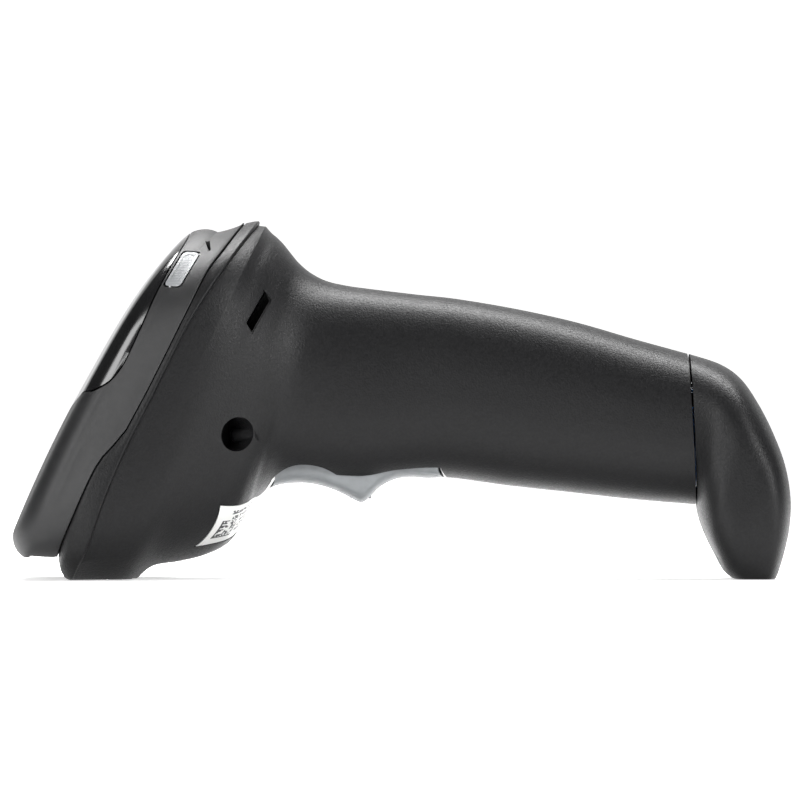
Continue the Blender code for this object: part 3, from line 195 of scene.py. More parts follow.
def boolean(target, operation, tool):
    modifier = target.modifiers.new("cut", "BOOLEAN")
    modifier.operation = operation
    modifier.solver = "EXACT"
    modifier.object = tool
    depsgraph = bpy.context.evaluated_depsgraph_get()
    old = target.data
    target.data = bpy.data.meshes.new_from_object(target.evaluated_get(depsgraph))
    target.modifiers.clear()
    bpy.data.meshes.remove(old)
    bpy.data.objects.remove(tool, do_unlink=True)
    return target


def cut(target, tool):
    return boolean(target, "DIFFERENCE", tool)


def join(target, tool):
    return boolean(target, "UNION", tool)


def keepInside(target, envelope):
    return boolean(target, "INTERSECT", envelope)


def box(name, low, high):
    x0, y0, z0 = low
    x1, y1, z1 = high
    points = [(x0, y0, z0), (x1, y0, z0), (x1, y1, z0), (x0, y1, z0),
              (x0, y0, z1), (x1, y0, z1), (x1, y1, z1), (x0, y1, z1)]
    faces = [(0, 3, 2, 1), (4, 5, 6, 7), (0, 1, 5, 4), (1, 2, 6, 5), (2, 3, 7, 6), (3, 0, 4, 7)]
    return meshPiece(name, points, faces)


def turned(name, profile, start, direction, sides=48):
    axis = Vector(direction).normalized()
    side = axis.orthogonal().normalized()
    other = axis.cross(side)
    origin = Vector(start)
    points = []
    for along, radius in profile:
        for i in range(sides):
            angle = 2 * math.pi * i / sides
            spoke = side * math.cos(angle) + other * math.sin(angle)
            points.append(origin + axis * along + spoke * radius)
    faces = [tuple(reversed(range(sides)))]
    faces += gridFaces(len(profile), sides, closed=True)
    last = (len(profile) - 1) * sides
    faces.append(tuple(range(last, last + sides)))
    return meshPiece(name, points, faces)


def rod(name, start, direction, length, radius, sides=48):
    return turned(name, [(0, radius), (length, radius)], start, direction, sides)


def prism(name, low, high):
    count = len(low)
    faces = [tuple(range(count)), tuple(reversed(range(count, 2 * count)))]
    faces += [(i, i + count, (i + 1) % count + count, (i + 1) % count) for i in range(count)]
    return meshPiece(name, low + high, faces)


def plate(name, outline, yLow, yHigh):
    return prism(name, [(x, yLow, z) for x, z in outline], [(x, yHigh, z) for x, z in outline])


def headPoint(u, n, y=0.0):
    return (head["beak"][0] + head["along"][0] * u + head["out"][0] * n, y,
            head["beak"][1] + head["along"][1] * u + head["out"][1] * n)


def sidePrism(name, outline, yLow, yHigh):
    return plate(name, [headPoint(u, n)[::2] for u, n in outline], yLow, yHigh)


def halfOutline(halfWidth, squareTop, squareBottom, egg, count=ringPoints):
    out = []
    for i in range(count + 1):
        angle = math.pi * i / count
        v = -math.cos(angle)
        power = 2 / (squareBottom + (squareTop - squareBottom) * (v + 1) / 2)
        along = math.copysign(abs(v) ** power, v)
        across = max(math.sin(angle), 0.0) ** power if 0 < i < count else 0.0
        out.append(((along + 1) / 2, halfWidth * across * (1 - egg * along)))
    return out


def wholeOutline(halfWidth, squareTop, squareBottom, egg):
    half = halfOutline(halfWidth, squareTop, squareBottom, egg)
    return half + [(share, -y) for share, y in reversed(half[1:-1])]


def stationRing(row, inset=0.0, whole=False):
    top = Vector((row[0], 0, row[1]))
    bottom = Vector((row[2], 0, row[3]))
    chord = (top - bottom).normalized()
    top -= chord * inset
    bottom += chord * inset
    maker = wholeOutline if whole else halfOutline
    out = []
    for share, y in maker(row[4] - inset, row[5], row[6], row[7]):
        p = bottom.lerp(top, share)
        out.append(Vector((p.x, y, max(p.z, inset))))
    return out


def rimWidth():
    widest = max(y for _, y in halfOutline(1.0, *head["rimShape"], count=17))
    return body["headHalfWidth"] / widest


def rimRing(uStart, uEnd, halfWidth, height, whole=False):
    maker = wholeOutline if whole else halfOutline
    out = []
    for share, y in maker(halfWidth, *head["rimShape"]):
        u = uEnd + (uStart - uEnd) * share
        out.append(Vector(headPoint(u, height(u), y)))
    return out


def housingRows():
    span = rimWidth() - body["flangeStep"] - body["handleHalfWidth"]
    rows = [(*row[:4], body["handleHalfWidth"] + span * row[4], *row[5:]) for row in headStations]
    return smoothRows(rows, housingSteps)


def tailRows():
    rows = [(*row[:4], body["tailHalfWidth"] * row[4], *row[5:]) for row in tailStations]
    return smoothRows(rows, tailSteps)


def housingRings(inset=0.0, whole=False):
    # from the cover seam, over the rounded flange, and down the handle
    width = rimWidth()
    step = body["flangeStep"]
    seam = lambda u: smoothLine(head["seam"], u) - body["seamGap"]
    crease = lambda u: smoothLine(head["crease"], u)
    between = lambda share: (lambda u: seam(u) + (crease(u) + flange["sideFoot"] - seam(u)) * share)
    profile = [(rear, nose, drawn, lambda u, below=below: seam(u) - below)
               for rear, nose, drawn, below in flange["lip"]]
    for share, nose in flange["side"]:
        rear = flange["lipRear"] + (flange["rear"] - flange["lipRear"]) * share
        profile.append((rear, nose, flange["sideLean"] * (1 - share), between(share)))
    r = body["flangeRound"]
    for angle in flange["roundSteps"]:
        a = math.radians(angle)
        drawn = r * (1 - math.cos(a))
        profile.append((flange["rear"] + drawn, flange["nose"] - drawn * flange["noseLean"], drawn,
                        lambda u, a=a: crease(u) + flange["roundFoot"] - r * math.sin(a)))
    profile.append((flange["rear"] + step, flange["creaseNose"], step,
                    lambda u: crease(u) + flange["creaseFoot"]))
    rings = [rimRing(a + inset, b - inset, width - drawn - inset, height, whole)
             for a, b, drawn, height in profile]
    rings += [stationRing(row, inset, whole) for row in housingRows()]
    for ring in rings:
        for point in ring:   # the nose bumper is flattened where it rests
            dip = body["bumperDip"] * max(1 - point.z / body["bumperReach"], 0.0) ** 2
            point.z = max(point.z - dip, inset)
    return rings


def gridFaces(rows, columns, start=0, closed=False, flip=False):
    faces = []
    span = columns if closed else columns - 1
    for r in range(rows - 1):
        for c in range(span):
            d = (c + 1) % columns
            quad = (start + r * columns + c, start + r * columns + d,
                    start + (r + 1) * columns + d, start + (r + 1) * columns + c)
            faces.append(tuple(reversed(quad)) if flip else quad)
    return faces


def halfShell(name, outer, inner, side):
    rows = len(outer)
    columns = len(outer[0])
    points = [(p.x, side * max(p.y, body["seamGap"] / 2), p.z)
              for rings in (outer, inner) for ring in rings for p in ring]
    total = rows * columns
    faces = gridFaces(rows, columns) + gridFaces(rows, columns, total, flip=True)
    for r in range(rows - 1):
        for c in (0, columns - 1):
            a = r * columns + c
            faces.append((a, a + columns, a + columns + total, a + total))
    for r in (0, rows - 1):
        for c in range(columns - 1):
            a = r * columns + c
            faces.append((a, a + 1, a + 1 + total, a + total))
    return meshPiece(name, points, faces)


def closedRings(name, rings):
    columns = len(rings[0])
    points = [tuple(p) for ring in rings for p in ring]
    last = (len(rings) - 1) * columns
    faces = gridFaces(len(rings), columns, closed=True)
    faces += [tuple(reversed(range(columns))), tuple(range(last, last + columns))]
    return meshPiece(name, points, faces)


def ringShell(name, outer, inner):
    # open at the first ring, closed at the last
    columns = len(outer[0])
    rows = len(outer)
    total = rows * columns
    points = [tuple(p) for rings in (outer, inner) for ring in rings for p in ring]
    faces = gridFaces(rows, columns, closed=True) + gridFaces(rows, columns, total, closed=True, flip=True)
    for c in range(columns):
        d = (c + 1) % columns
        faces.append((c, d, d + total, c + total))
    last = (rows - 1) * columns
    faces.append(tuple(range(last, last + columns)))
    faces.append(tuple(reversed(range(total + last, total + last + columns))))
    return meshPiece(name, points, faces)


# ---- the cover

def coverTop(u):
    rear = max(45.0 - u, 0.0) / 35.0
    nose = max(u - 55.0, 0.0) / 35.0
    return cover["topHeight"] - cover["rearDrop"] * rear**2.6 - cover["noseDrop"] * nose**1.7


def coverRings(inset=0.0, foot=0.0):
    width = rimWidth() - 0.3
    radius = cover["edgeRadius"]
    r = cover["footRound"]
    steps = [(0.0, r, 0.0), (0.0, r * 0.35, r * 0.3), (0.0, 0.0, r)]
    steps += [(share, 0.0, 0.0) for share in cover["sideSteps"]]
    for angle in range(9, 91, 9):
        a = math.radians(angle)
        steps.append((1.0, radius * (1 - math.cos(a)), radius * math.sin(a)))
    steps += [(1.0, radius + shrink, radius) for shrink in cover["crownSteps"]]
    rings = []
    for share, drawnIn, lift in steps:
        uStart = cover["rearFoot"] + (cover["rearHead"] - cover["rearFoot"]) * share + drawnIn + inset
        uEnd = cover["noseFoot"] + (cover["noseHead"] - cover["noseFoot"]) * share - drawnIn - inset
        half = width - (cover["draft"] + cover["sideLean"] * share) * share - drawnIn - inset
        ring = []
        for part, y in wholeOutline(max(half, 0.6), *head["rimShape"]):
            u = uEnd + (uStart - uEnd) * part
            base = smoothLine(head["seam"], u) + foot - cover["footDrop"]
            shoulder = coverTop(u) - cover["crown"] * (y / width) ** 2 - radius - inset
            ring.append(Vector(headPoint(u, base + (shoulder - base) * share + lift, y)))
        rings.append(ring)
    return rings


def coverHalfWidth(u):
    ring = sorted((cover["noseHead"] + (cover["rearHead"] - cover["noseHead"]) * share, y)
                  for share, y in halfOutline(rimWidth() - 0.9, *head["rimShape"], count=17))
    return float(np.interp(u, [p[0] for p in ring], [p[1] for p in ring]))


def roundedSlot(u0, u1, n0, n1, radius=0.9, slant=0.0):
    out = []
    corners = ((u1 - radius, n1 - radius, 0), (u0 + radius, n1 - radius, 90),
               (u0 + radius, n0 + radius, 180), (u1 - radius, n0 + radius, 270))
    for u, n, start in corners:
        for step in range(9):
            a = math.radians(start + step * 90 / 8)
            height = n + radius * math.sin(a)
            out.append((u + radius * math.cos(a) + slant * (height - (n0 + n1) / 2), height))
    return out


lightGuide = {
    "start": 14.0, "end": 23.0, "slant": 0.45, "low": 8.2, "high": 11.5,
    "reach": 1.2, "border": 0.6, "sunk": 0.1, "skinInset": 0.1,
}
panel = {
    "thick": 1.1,
    "tip": 60.0,
    "tipBow": 10.0,
    "edge": [(8.2, 18.0), (8.2, 13.4), (12.0, 12.6), (20.0, 12.5), (27.0, 12.2), (33.0, 11.6), (39.0, 11.0),
             (44.5, 10.8), (48.5, 11.6), (51.5, 13.3), (54.0, 15.3), (57.0, 16.2), (62.0, 16.6),
             (62.0, 20.0), (8.2, 20.0)],
    "vent": (10.3, 8.2),
    "ventShape": [(-1.9, 0.9), (-1.4, 1.4), (0.2, 0.2), (1.6, -1.5), (1.2, -1.9), (-0.6, -0.5)],
}


def lightGuideOutline(grow):
    return roundedSlot(lightGuide["start"] - grow, lightGuide["end"] + grow,
                       lightGuide["low"] - grow, lightGuide["high"] + grow, slant=lightGuide["slant"])


def panelOutline(grow):
    edge = panel["edge"]
    lower = edge[1:-2]
    fine = [(u, smoothLine(lower, u)) for u in np.linspace(lower[0][0], lower[-1][0], 70)]
    middle = (edge[0][0] + edge[-2][0]) / 2
    outline = [edge[0]] + fine + [edge[-2], edge[-1]]
    return [(u + math.copysign(grow, u - middle), n - grow) for u, n in outline]


def panelTongue(grow):
    reach = body["headHalfWidth"] + 2.0
    outline = [(panel["tip"] + grow - panel["tipBow"] * (y / body["headHalfWidth"]) ** 2, y)
               for y in np.linspace(-reach, reach, 81)]
    outline += [(0.0, reach), (0.0, -reach)]
    return prism("tongue", *([headPoint(u, n, y) for u, y in outline] for n in (5.0, 24.0)))


def ventOutline():
    u, n = panel["vent"]
    return [(u + along, n + out) for along, out in panel["ventShape"]]


def makeCover():
    shell = ringShell("coverShell", coverRings(), coverRings(body["wall"]))
    pocket = sidePrism("pocket", panelOutline(body["seamGap"]), -40, 40)
    keepInside(pocket, panelTongue(body["seamGap"]))
    cut(pocket, closedRings("below", coverRings(panel["thick"] + body["seamGap"], foot=-2.0)))
    cut(shell, pocket)
    for side in (-1, 1):
        y0, y1 = sorted((side * 12.0, side * 40.0))
        cut(shell, sidePrism("slot", lightGuideOutline(body["seamGap"]), y0, y1))
        cut(shell, sidePrism("vent", ventOutline(), y0, y1))
    cut(shell, frontOpening())
    return shell


def makePanel():
    skin = sidePrism("glossPanel", panelOutline(0.0), -40, 40)
    keepInside(skin, closedRings("skin", coverRings()))
    keepInside(skin, panelTongue(0.0))
    cut(skin, closedRings("below", coverRings(panel["thick"], foot=-2.0)))
    for side in (-1, 1):
        y0, y1 = sorted((side * 12.0, side * 40.0))
        cut(skin, sidePrism("slot", lightGuideOutline(body["seamGap"]), y0, y1))
    return skin


def makeLightGuide(name, side):
    back = coverHalfWidth(lightGuide["start"]) - body["wall"] - lightGuide["reach"]
    y0, y1 = sorted((side * back, side * 40.0))
    guide = sidePrism(name, lightGuideOutline(0.0), y0, y1)
    keepInside(guide, closedRings("skin", coverRings(lightGuide["skinInset"])))
    cut(guide, closedRings("inside", coverRings(body["wall"] + lightGuide["reach"], foot=-2.0)))
    face = sidePrism("face", lightGuideOutline(-lightGuide["border"]), y0, y1)
    cut(face, closedRings("sunk", coverRings(lightGuide["skinInset"] + lightGuide["sunk"], foot=-2.0)))
    return cut(guide, face)


# ---- the nose opening

front = {
    "centre": (-75.6, 2.6), "tilt": 13.5, "windowLength": 42.0, "windowHeight": 16.0, "windowCorner": 1.6,
    "bezelWall": 1.3, "bezelFront": 2.8, "bezelDepth": 4.5, "bezelCorner": 0.5, "bezelChamfer": 0.35,
}


def frontPoint(across, depth, y=0.0):
    tilt = math.radians(front["tilt"])
    return Vector((front["centre"][0] - math.cos(tilt) * across + math.sin(tilt) * depth, y,
                   front["centre"][1] + math.sin(tilt) * across + math.cos(tilt) * depth))


def frontBlock(name, halfAcross, halfLength, depthLow, depthHigh):
    corners = ((-halfAcross, -halfLength), (halfAcross, -halfLength), (halfAcross, halfLength),
               (-halfAcross, halfLength))
    return prism(name, [frontPoint(a, depthLow, y) for a, y in corners],
                 [frontPoint(a, depthHigh, y) for a, y in corners])


def frontOpening():
    grow = front["bezelWall"] + body["seamGap"]
    return frontBlock("opening", front["windowHeight"] / 2 + grow, front["windowLength"] / 2 + grow,
                      -12.0, 12.0)


def roundedBlock(name, halfAcross, halfLength, depthLow, depthHigh, radius, chamfer=0.0):
    # corners of the given radius, and a chamfer round the front
    outline = roundedSlot(-halfLength, halfLength, -halfAcross, halfAcross, radius)
    rings = []
    for depth, inset in ((depthLow, chamfer), (depthLow + chamfer, 0.0), (depthHigh, 0.0)):
        shrink = lambda v, half: v * (half - inset) / half
        rings.append([frontPoint(shrink(a, halfAcross), depth, shrink(y, halfLength)) for y, a in outline])
    if not chamfer:
        rings = rings[1:]
    return closedRings(name, rings)


def makeBezel():
    halfA = front["windowHeight"] / 2
    halfY = front["windowLength"] / 2
    wall = front["bezelWall"]
    low = front["bezelFront"]
    high = low + front["bezelDepth"]
    bezel = roundedBlock("bezelFrame", halfA + wall, halfY + wall, low, high, front["bezelCorner"],
                         front["bezelChamfer"])
    flare = roundedBlock("flare", halfA, halfY, -1, 12, front["windowCorner"])
    return cut(bezel, flare)


# ---- the housing

opening = {
    "start": -31.3, "end": 10.8, "halfWidth": 8.2, "frontGap": 1.1,
    "skirt": [(-31.3, 20.6), (-29.0, 23.1), (-25.9, 25.3), (-22.3, 26.1), (-17.5, 25.3), (-12.7, 22.7),
              (-8.7, 21.2), (-4.3, 23.5), (0.1, 24.8), (4.5, 25.0), (8.1, 24.4), (10.8, 23.0)],
    "silhouette": [(-30.4, 20.6), (-27.6, 21.5), (-22.3, 21.9), (-17.5, 21.1), (-13.1, 19.4), (-9.9, 17.7),
                   (-8.7, 17.4), (-7.4, 18.2), (-4.7, 20.9), (-1.2, 22.7), (2.3, 23.2), (6.7, 23.0),
                   (10.2, 23.2)],
    "wall": 1.8, "bow": 1.6, "bowReach": 8.0, "upstand": 3.2, "squareness": 3.4,
    "pin": (6.6, 31.5), "pinRadius": 1.5, "pinHalfLength": 10.3, "lugRadius": 3.3, "lugGap": 0.35,
    "sleeveRadius": 3.1, "posts": [(-9.0, 2.4, 31.4), (-22.0, 3.4, 27.4)],
}
sideMarks = {
    "slot": (18.5, -10.0), "slotLength": 9.4, "slotHeight": 2.1, "slotLip": 0.35,
    "slotSlant": 1.2, "slotFloor": 5.0, "blindWall": 1.2,
    "recess": (-37.7, 33.1), "recessRadius": 3.9, "recessTilt": 42.0, "recessAxisY": 23.0,
    "recessDepth": 6.0,
    "tongueRadius": 1.9, "tongueRoot": (4.6, 0.3), "tongueReach": 5.2, "tongueSunk": 0.1,
    "tongueLean": (-0.9, -0.42, -0.12),
}
screws = {
    "case": [(-45.0, 16.0), (-16.0, 58.5), (52.0, 51.016)],
    "seat": 4.0, "reach": 7.5, "endReach": 22.0, "head": 2.5, "hole": 1.55, "bossRadius": 3.2,
}
label = {
    "foot": (-36.9, 10.8), "rise": (0.33, 0.94), "droop": (6.4, 4.7), "height": 9.0,
    "halfSpan": (15.6, 21.0), "thick": 0.2, "sink": 0.6,
}


def pocketCutters():
    start, end = opening["start"], opening["end"]
    edge = [(x, smoothLine(opening["skirt"], x)) for x in np.linspace(start, end, 140)]
    outline = edge + [(end, 5.0), (start, 5.0)]
    half = opening["halfWidth"] + body["run"]
    return [keepInside(tool, bowedEnds())
            for tool in (plate("belowSkirts", outline, -40, 40),
                         box("floorCut", (start, -half, 5.0), (end, half, 33.0)))]


def bowedEnds():
    # the pocket's ends bow outwards in plan, as the lever's do, so no light passes through the gap
    half = opening["halfWidth"] + body["run"]
    ys = [-41.0] + list(np.linspace(-half, half, 25)) + [41.0]
    bow = [opening["bow"] * min(abs(y) / half, 1.0) ** 2 for y in ys]
    outline = [(opening["end"] - b, y) for y, b in zip(ys, bow)]
    outline += [(opening["start"] + b, y) for y, b in zip(reversed(ys), reversed(bow))]
    return prism("ends", [(x, y, 4.0) for x, y in outline], [(x, y, 40.0) for x, y in outline])


def slotOutline(grow):
    u, n = sideMarks["slot"]
    half = sideMarks["slotLength"] / 2 + grow
    low = n - sideMarks["slotHeight"] / 2 - grow
    high = n + sideMarks["slotHeight"] / 2 + grow
    slant = sideMarks["slotSlant"]
    return [(u - half + slant, low), (u + half, low), (u + half - slant, high), (u - half, high)]


def sideSlot(side, grow=0.0):
    y0, y1 = sorted((side * (sideMarks["slotFloor"] - grow), side * 40.0))
    return sidePrism("sideSlot", slotOutline(grow), y0, y1)


def roundRecess(side, grow=0.0):
    lean = math.radians(sideMarks["recessTilt"])
    direction = Vector((-math.sin(lean), -side * math.cos(lean), 0))
    x, z = sideMarks["recess"]
    start = Vector((x, side * sideMarks["recessAxisY"], z)) - direction * 20
    return rod("recess", start, direction, 20 + sideMarks["recessDepth"] + grow,
               sideMarks["recessRadius"] + grow, 64)


def housingSkin():
    rings = housingRings(0.0, whole=True)
    return BVHTree.FromPolygons([p for ring in rings for p in ring],
                                gridFaces(len(rings), len(rings[0]), closed=True))


def recessTongue(side):
    # a rounded ramp that comes in from the recess's handle side
    x, z = sideMarks["recess"]
    across, up = sideMarks["tongueRoot"]
    place = housingSkin().ray_cast(Vector((x + across, side * 60, z + up)), Vector((0, -side, 0)))[0]
    direction = Vector(sideMarks["tongueLean"]).normalized()
    direction.y *= side
    r = sideMarks["tongueRadius"]
    reach = sideMarks["tongueReach"]
    profile = [(0, r)] + [(reach + r * math.sin(a), r * math.cos(a)) for a in np.linspace(0, 1.45, 9)]
    start = place - Vector((0, side * (r + sideMarks["tongueSunk"]), 0)) - direction
    return turned("tongue", profile, start, direction, 40)


def outerBand(depth):
    # everything further out than a skin that lies this deep
    band = box("band", (-120, -60, -20), (120, 60, 120))
    return cut(band, closedRings("core", housingRings(depth, whole=True)))


def chinSheet(name, low, high, grow):
    skin = housingSkin()
    rise = Vector((label["rise"][0], 0, label["rise"][1])).normalized()
    out = Vector((rise.z, 0, -rise.x))
    foot = Vector((label["foot"][0], 0, label["foot"][1]))
    layers = ([], [])
    rows, columns = 12, 60
    for up in np.linspace(-grow, label["height"] + grow, rows):
        reach = np.interp(up, (0, label["height"]), label["halfSpan"]) + grow
        for y in np.linspace(-reach, reach, columns):
            droop = np.interp(up, (0, label["height"]), label["droop"]) * (y / reach) ** 2
            start = foot + rise * (up - droop) + out * 20 + Vector((0, y, 0))
            place, normal, _, _ = skin.ray_cast(start, -out)
            if normal.dot(out) < 0:
                normal = -normal
            layers[0].append(place - normal * low)
            layers[1].append(place - normal * high)
    total = rows * columns
    faces = gridFaces(rows, columns) + gridFaces(rows, columns, total, flip=True)
    edge = [c for c in range(columns)] + [r * columns + columns - 1 for r in range(1, rows)]
    edge += [total - 1 - c for c in range(1, columns)] + [r * columns for r in range(rows - 2, 0, -1)]
    faces += [(a, b, b + total, a + total) for a, b in zip(edge, edge[1:] + edge[:1])]
    made = meshPiece(name, layers[0] + layers[1], faces)
    layer = made.data.uv_layers.new(name="print")
    for loop in made.data.loops:
        place = loop.vertex_index % total
        layer.data[loop.index].uv = ((place % columns) / (columns - 1), (place // columns) / (rows - 1))
    return made


def makeHousingHalf(name, side):
    wall = body["wall"]
    shell = halfShell(name, housingRings(), housingRings(wall), side)
    bosses = [rod("boss", (x, side * body["seamGap"] / 2, z), (0, side, 0), 40, screws["bossRadius"])
              for x, z in screws["case"]]
    px, pz = opening["pin"]
    bosses.append(rod("boss", (px, side * (opening["halfWidth"] + body["run"]), pz), (0, side, 0), 20,
                      opening["sleeveRadius"]))
    bosses += [sideSlot(side, sideMarks["blindWall"]), roundRecess(side, sideMarks["blindWall"])]
    for boss in bosses:
        keepInside(boss, closedRings("envelope", housingRings(wall * body["bossDepth"], whole=True)))
        join(shell, boss)
    for x, z in screws["case"]:
        if side > 0:
            cut(shell, rod("bore", (x, screws["seat"], z), (0, 1, 0), 40, screws["head"] + body["touch"]))
            cut(shell, rod("bore", (x, -1, z), (0, 1, 0), 20, screws["hole"]))
        else:
            cut(shell, rod("bore", (x, 1, z), (0, -1, 0), screws["reach"] + 2, screws["hole"]))
    cut(shell, rod("bore", (px, 0, pz), (0, side, 0), opening["pinHalfLength"] + body["touch"],
                   opening["pinRadius"] + body["touch"]))
    for tool in pocketCutters():
        cut(shell, tool)
    cut(shell, sideSlot(side))
    lip = keepInside(sideSlot(side, sideMarks["slotLip"]), outerBand(sideMarks["slotLip"]))
    cut(shell, lip)
    cut(shell, roundRecess(side))
    join(shell, recessTongue(side))
    cut(shell, frontOpening())
    cut(shell, chinSheet("labelRecess", -0.5, label["sink"], body["touch"]))
    return shell


# ---- the trigger

def triggerRings(inset, start, end, topExtra):
    rings = []
    for x in np.linspace(start, end, 130):
        low = smoothLine(opening["silhouette"], x) + inset
        high = smoothLine(opening["skirt"], x) + opening["upstand"] + topExtra
        half = opening["halfWidth"] - inset
        power = 2 / opening["squareness"]
        rise = min(4.5, high - low - 0.5)
        ring = [Vector((x, half, high))]
        for i in range(33):
            angle = math.pi * i / 32
            y = half * math.copysign(abs(math.cos(angle)) ** power, math.cos(angle))
            ring.append(Vector((x, y, low + rise * (1 - max(math.sin(angle), 0.0) ** power))))
        ring.append(Vector((x, -half, high)))
        for point in ring:
            bow = opening["bow"] * (point.y / opening["halfWidth"]) ** 2
            nearStart = max(1 - (x - start) / opening["bowReach"], 0.0)
            nearEnd = max(1 - (end - x) / opening["bowReach"], 0.0)
            point.x += bow * (nearStart - nearEnd)
        rings.append(ring)
    return rings


def makeTrigger():
    start = opening["start"] + opening["frontGap"]
    end = opening["end"] - body["run"]
    wall = opening["wall"]
    lever = closedRings("triggerLever", triggerRings(0.0, start, end, 0.0))
    cut(lever, closedRings("hollow", triggerRings(wall, start + wall, end - wall, 3.0)))
    x, z = opening["pin"]
    half = opening["halfWidth"] - opening["lugGap"]
    lug = rod("lug", (x, -half, z), (0, 1, 0), 2 * half, opening["lugRadius"])
    floor = smoothLine(opening["silhouette"], x) + wall / 2
    join(lug, box("web", (x - 2.0, -half + 0.5, floor), (x + 2.0, half - 0.5, z - 1.0)))
    join(lever, lug)
    for place, radius, top in opening["posts"]:   # under the switch and the spring
        floor = smoothLine(opening["silhouette"], place) + wall / 2
        join(lever, rod("post", (place, 0, floor), (0, 0, 1), top - body["touch"] - floor, radius))
    return cut(lever, rod("bore", (x, -half - 5, z), (0, 1, 0), 2 * half + 10,
                          opening["pinRadius"] + body["touch"]))


# ---- the tail

handle = {
    "at": 18.5, "height": 22.1, "slope": -0.104, "cradleTop": 23.4, "endScrewPlace": 74.0,
    "endScrewLift": 3.2, "endBossReach": 6.0, "endBossWall": 0.6,
}
contact = {"station": 6, "apart": 5.0, "radius": 1.5, "sunk": 4.0, "bore": 5.0}


def handlePoint(x, height, y=0.0):
    slope = math.atan(handle["slope"])
    low = handle["height"] + handle["slope"] * (x - handle["at"])
    return Vector((x - math.sin(slope) * height, y, low + math.cos(slope) * height))


def handleAxis():
    return (handlePoint(1, 0) - handlePoint(0, 0)).normalized()


def contactPlace(side):
    here, after = (Vector((row[2], 0, row[3]))
                   for row in tailStations[contact["station"]:contact["station"] + 2])
    along = (after - here).normalized()
    inward = Vector((-along.z, 0, along.x))
    if inward.x < 0:
        inward = -inward
    return here + Vector((0, side * contact["apart"], 0)), inward


def makeTail():
    rows = tailRows()
    outer = [stationRing(row, 0.0, whole=True) for row in rows]
    inner = [stationRing(row, body["wall"], whole=True) for row in rows]
    for point in inner[-1]:
        point.z = body["wall"]
    cap = ringShell("tailCap", outer, inner)
    start = handlePoint(handle["endScrewPlace"], handle["cradleTop"] + handle["endScrewLift"])
    axis = handleAxis()
    boss = rod("boss", start - axis * handle["endBossReach"], axis, 20,
               screws["bossRadius"] + handle["endBossWall"])
    skin = [stationRing(row, body["wall"] * body["bossDepth"], whole=True) for row in rows]
    keepInside(boss, closedRings("tailSkin", skin))
    join(cap, boss)
    cut(cap, rod("bore", start, axis, 30, screws["head"] + body["touch"]))
    cut(cap, rod("bore", start - axis * 10, axis, 20, screws["hole"]))
    for side in (-1, 1):
        place, inward = contactPlace(side)
        cut(cap, rod("bore", place - inward * contact["bore"], inward, contact["bore"] + contact["sunk"],
                     contact["radius"] + body["touch"]))
    return cap


# ---- screws

def makeScrew(name, start, direction, reach, shank=1.2, headRadius=2.5, headHeight=1.6):
    # a pan head with a six-lobe drive
    axis = Vector(direction).normalized()
    r = 0.35
    profile = [(0, shank * 0.7), (0.4, shank), (reach, shank), (reach, headRadius - 0.1),
               (reach + 0.1, headRadius), (reach + headHeight - r, headRadius),
               (reach + headHeight - r * 0.3, headRadius - r * 0.3), (reach + headHeight, headRadius - r)]
    screw = turned(name, profile, start, axis, 40)
    side = axis.orthogonal().normalized()
    other = axis.cross(side)
    lobes = []
    for i in range(48):
        angle = 2 * math.pi * i / 48
        radius = headRadius * (0.47 + 0.09 * math.cos(6 * angle))
        lobes.append((side * math.cos(angle) + other * math.sin(angle)) * radius)
    top = Vector(start) + axis * (reach + headHeight)
    floor = top - axis * headHeight * 0.6
    drive = prism("drive", [floor + p for p in lobes], [top + axis + p for p in lobes])
    return cut(screw, drive)


# ---- materials

def addNode(tree, kind, settings=None, links=None):
    node = tree.nodes.new(kind)
    for key, value in (settings or {}).items():
        if isinstance(key, int) or key in node.inputs:
            node.inputs[key].default_value = value
        else:
            setattr(node, key, value)
    for key, source in (links or {}).items():
        tree.links.new(source, node.inputs[key])
    return node


def newMaterial(name, settings):
    made = bpy.data.materials.new(name)
    made.use_nodes = True
    shader = made.node_tree.nodes["Principled BSDF"]
    for key, value in settings.items():
        shader.inputs[key].default_value = value
    place = addNode(made.node_tree, "ShaderNodeTexCoord")
    return made, made.node_tree, shader, place.outputs["Object"]


def mottle(tree, shader, coordinates, low, high, sizeMm, socket="Base Color"):
    # a slow wander between two colours or two roughnesses
    noise = addNode(tree, "ShaderNodeTexNoise", {"Scale": 1 / (sizeMm * mm), "Detail": 2.0},
                    {"Vector": coordinates})
    ramp = addNode(tree, "ShaderNodeValToRGB", {}, {"Fac": noise.outputs["Fac"]})
    ramp.color_ramp.elements[0].position = 0.35
    ramp.color_ramp.elements[1].position = 0.65
    grey = lambda v: (v, v, v, 1.0)
    ramp.color_ramp.elements[0].color = toLinear(low) if isinstance(low, str) else grey(low)
    ramp.color_ramp.elements[1].color = toLinear(high) if isinstance(high, str) else grey(high)
    tree.links.new(ramp.outputs["Color"], shader.inputs[socket])
    return noise


def grain(tree, shader, coordinates, sizeMm, depthMm):
    # a fine random relief
    noise = addNode(tree, "ShaderNodeTexNoise", {"Scale": 1 / (sizeMm * mm), "Detail": 2.0},
                    {"Vector": coordinates})
    bump = addNode(tree, "ShaderNodeBump", {"Strength": 1.0, "Distance": depthMm * mm},
                   {"Height": noise.outputs["Fac"]})
    tree.links.new(bump.outputs["Normal"], shader.inputs["Normal"])


def sparkedAbs():
    # ABS moulded in a spark-eroded tool: a matt black that sparkles faintly where the light grazes it
    made, tree, shader, place = newMaterial("sparkedAbs", {"IOR": 1.5, "Roughness": 0.5,
                                                           "Specular IOR Level": 0.18})
    mottle(tree, shader, place, "0d0d0e", "131314", 0.6)
    mottle(tree, shader, place, 0.36, 0.5, 0.45, "Roughness")
    grain(tree, shader, place, 0.42, 0.075)
    return made


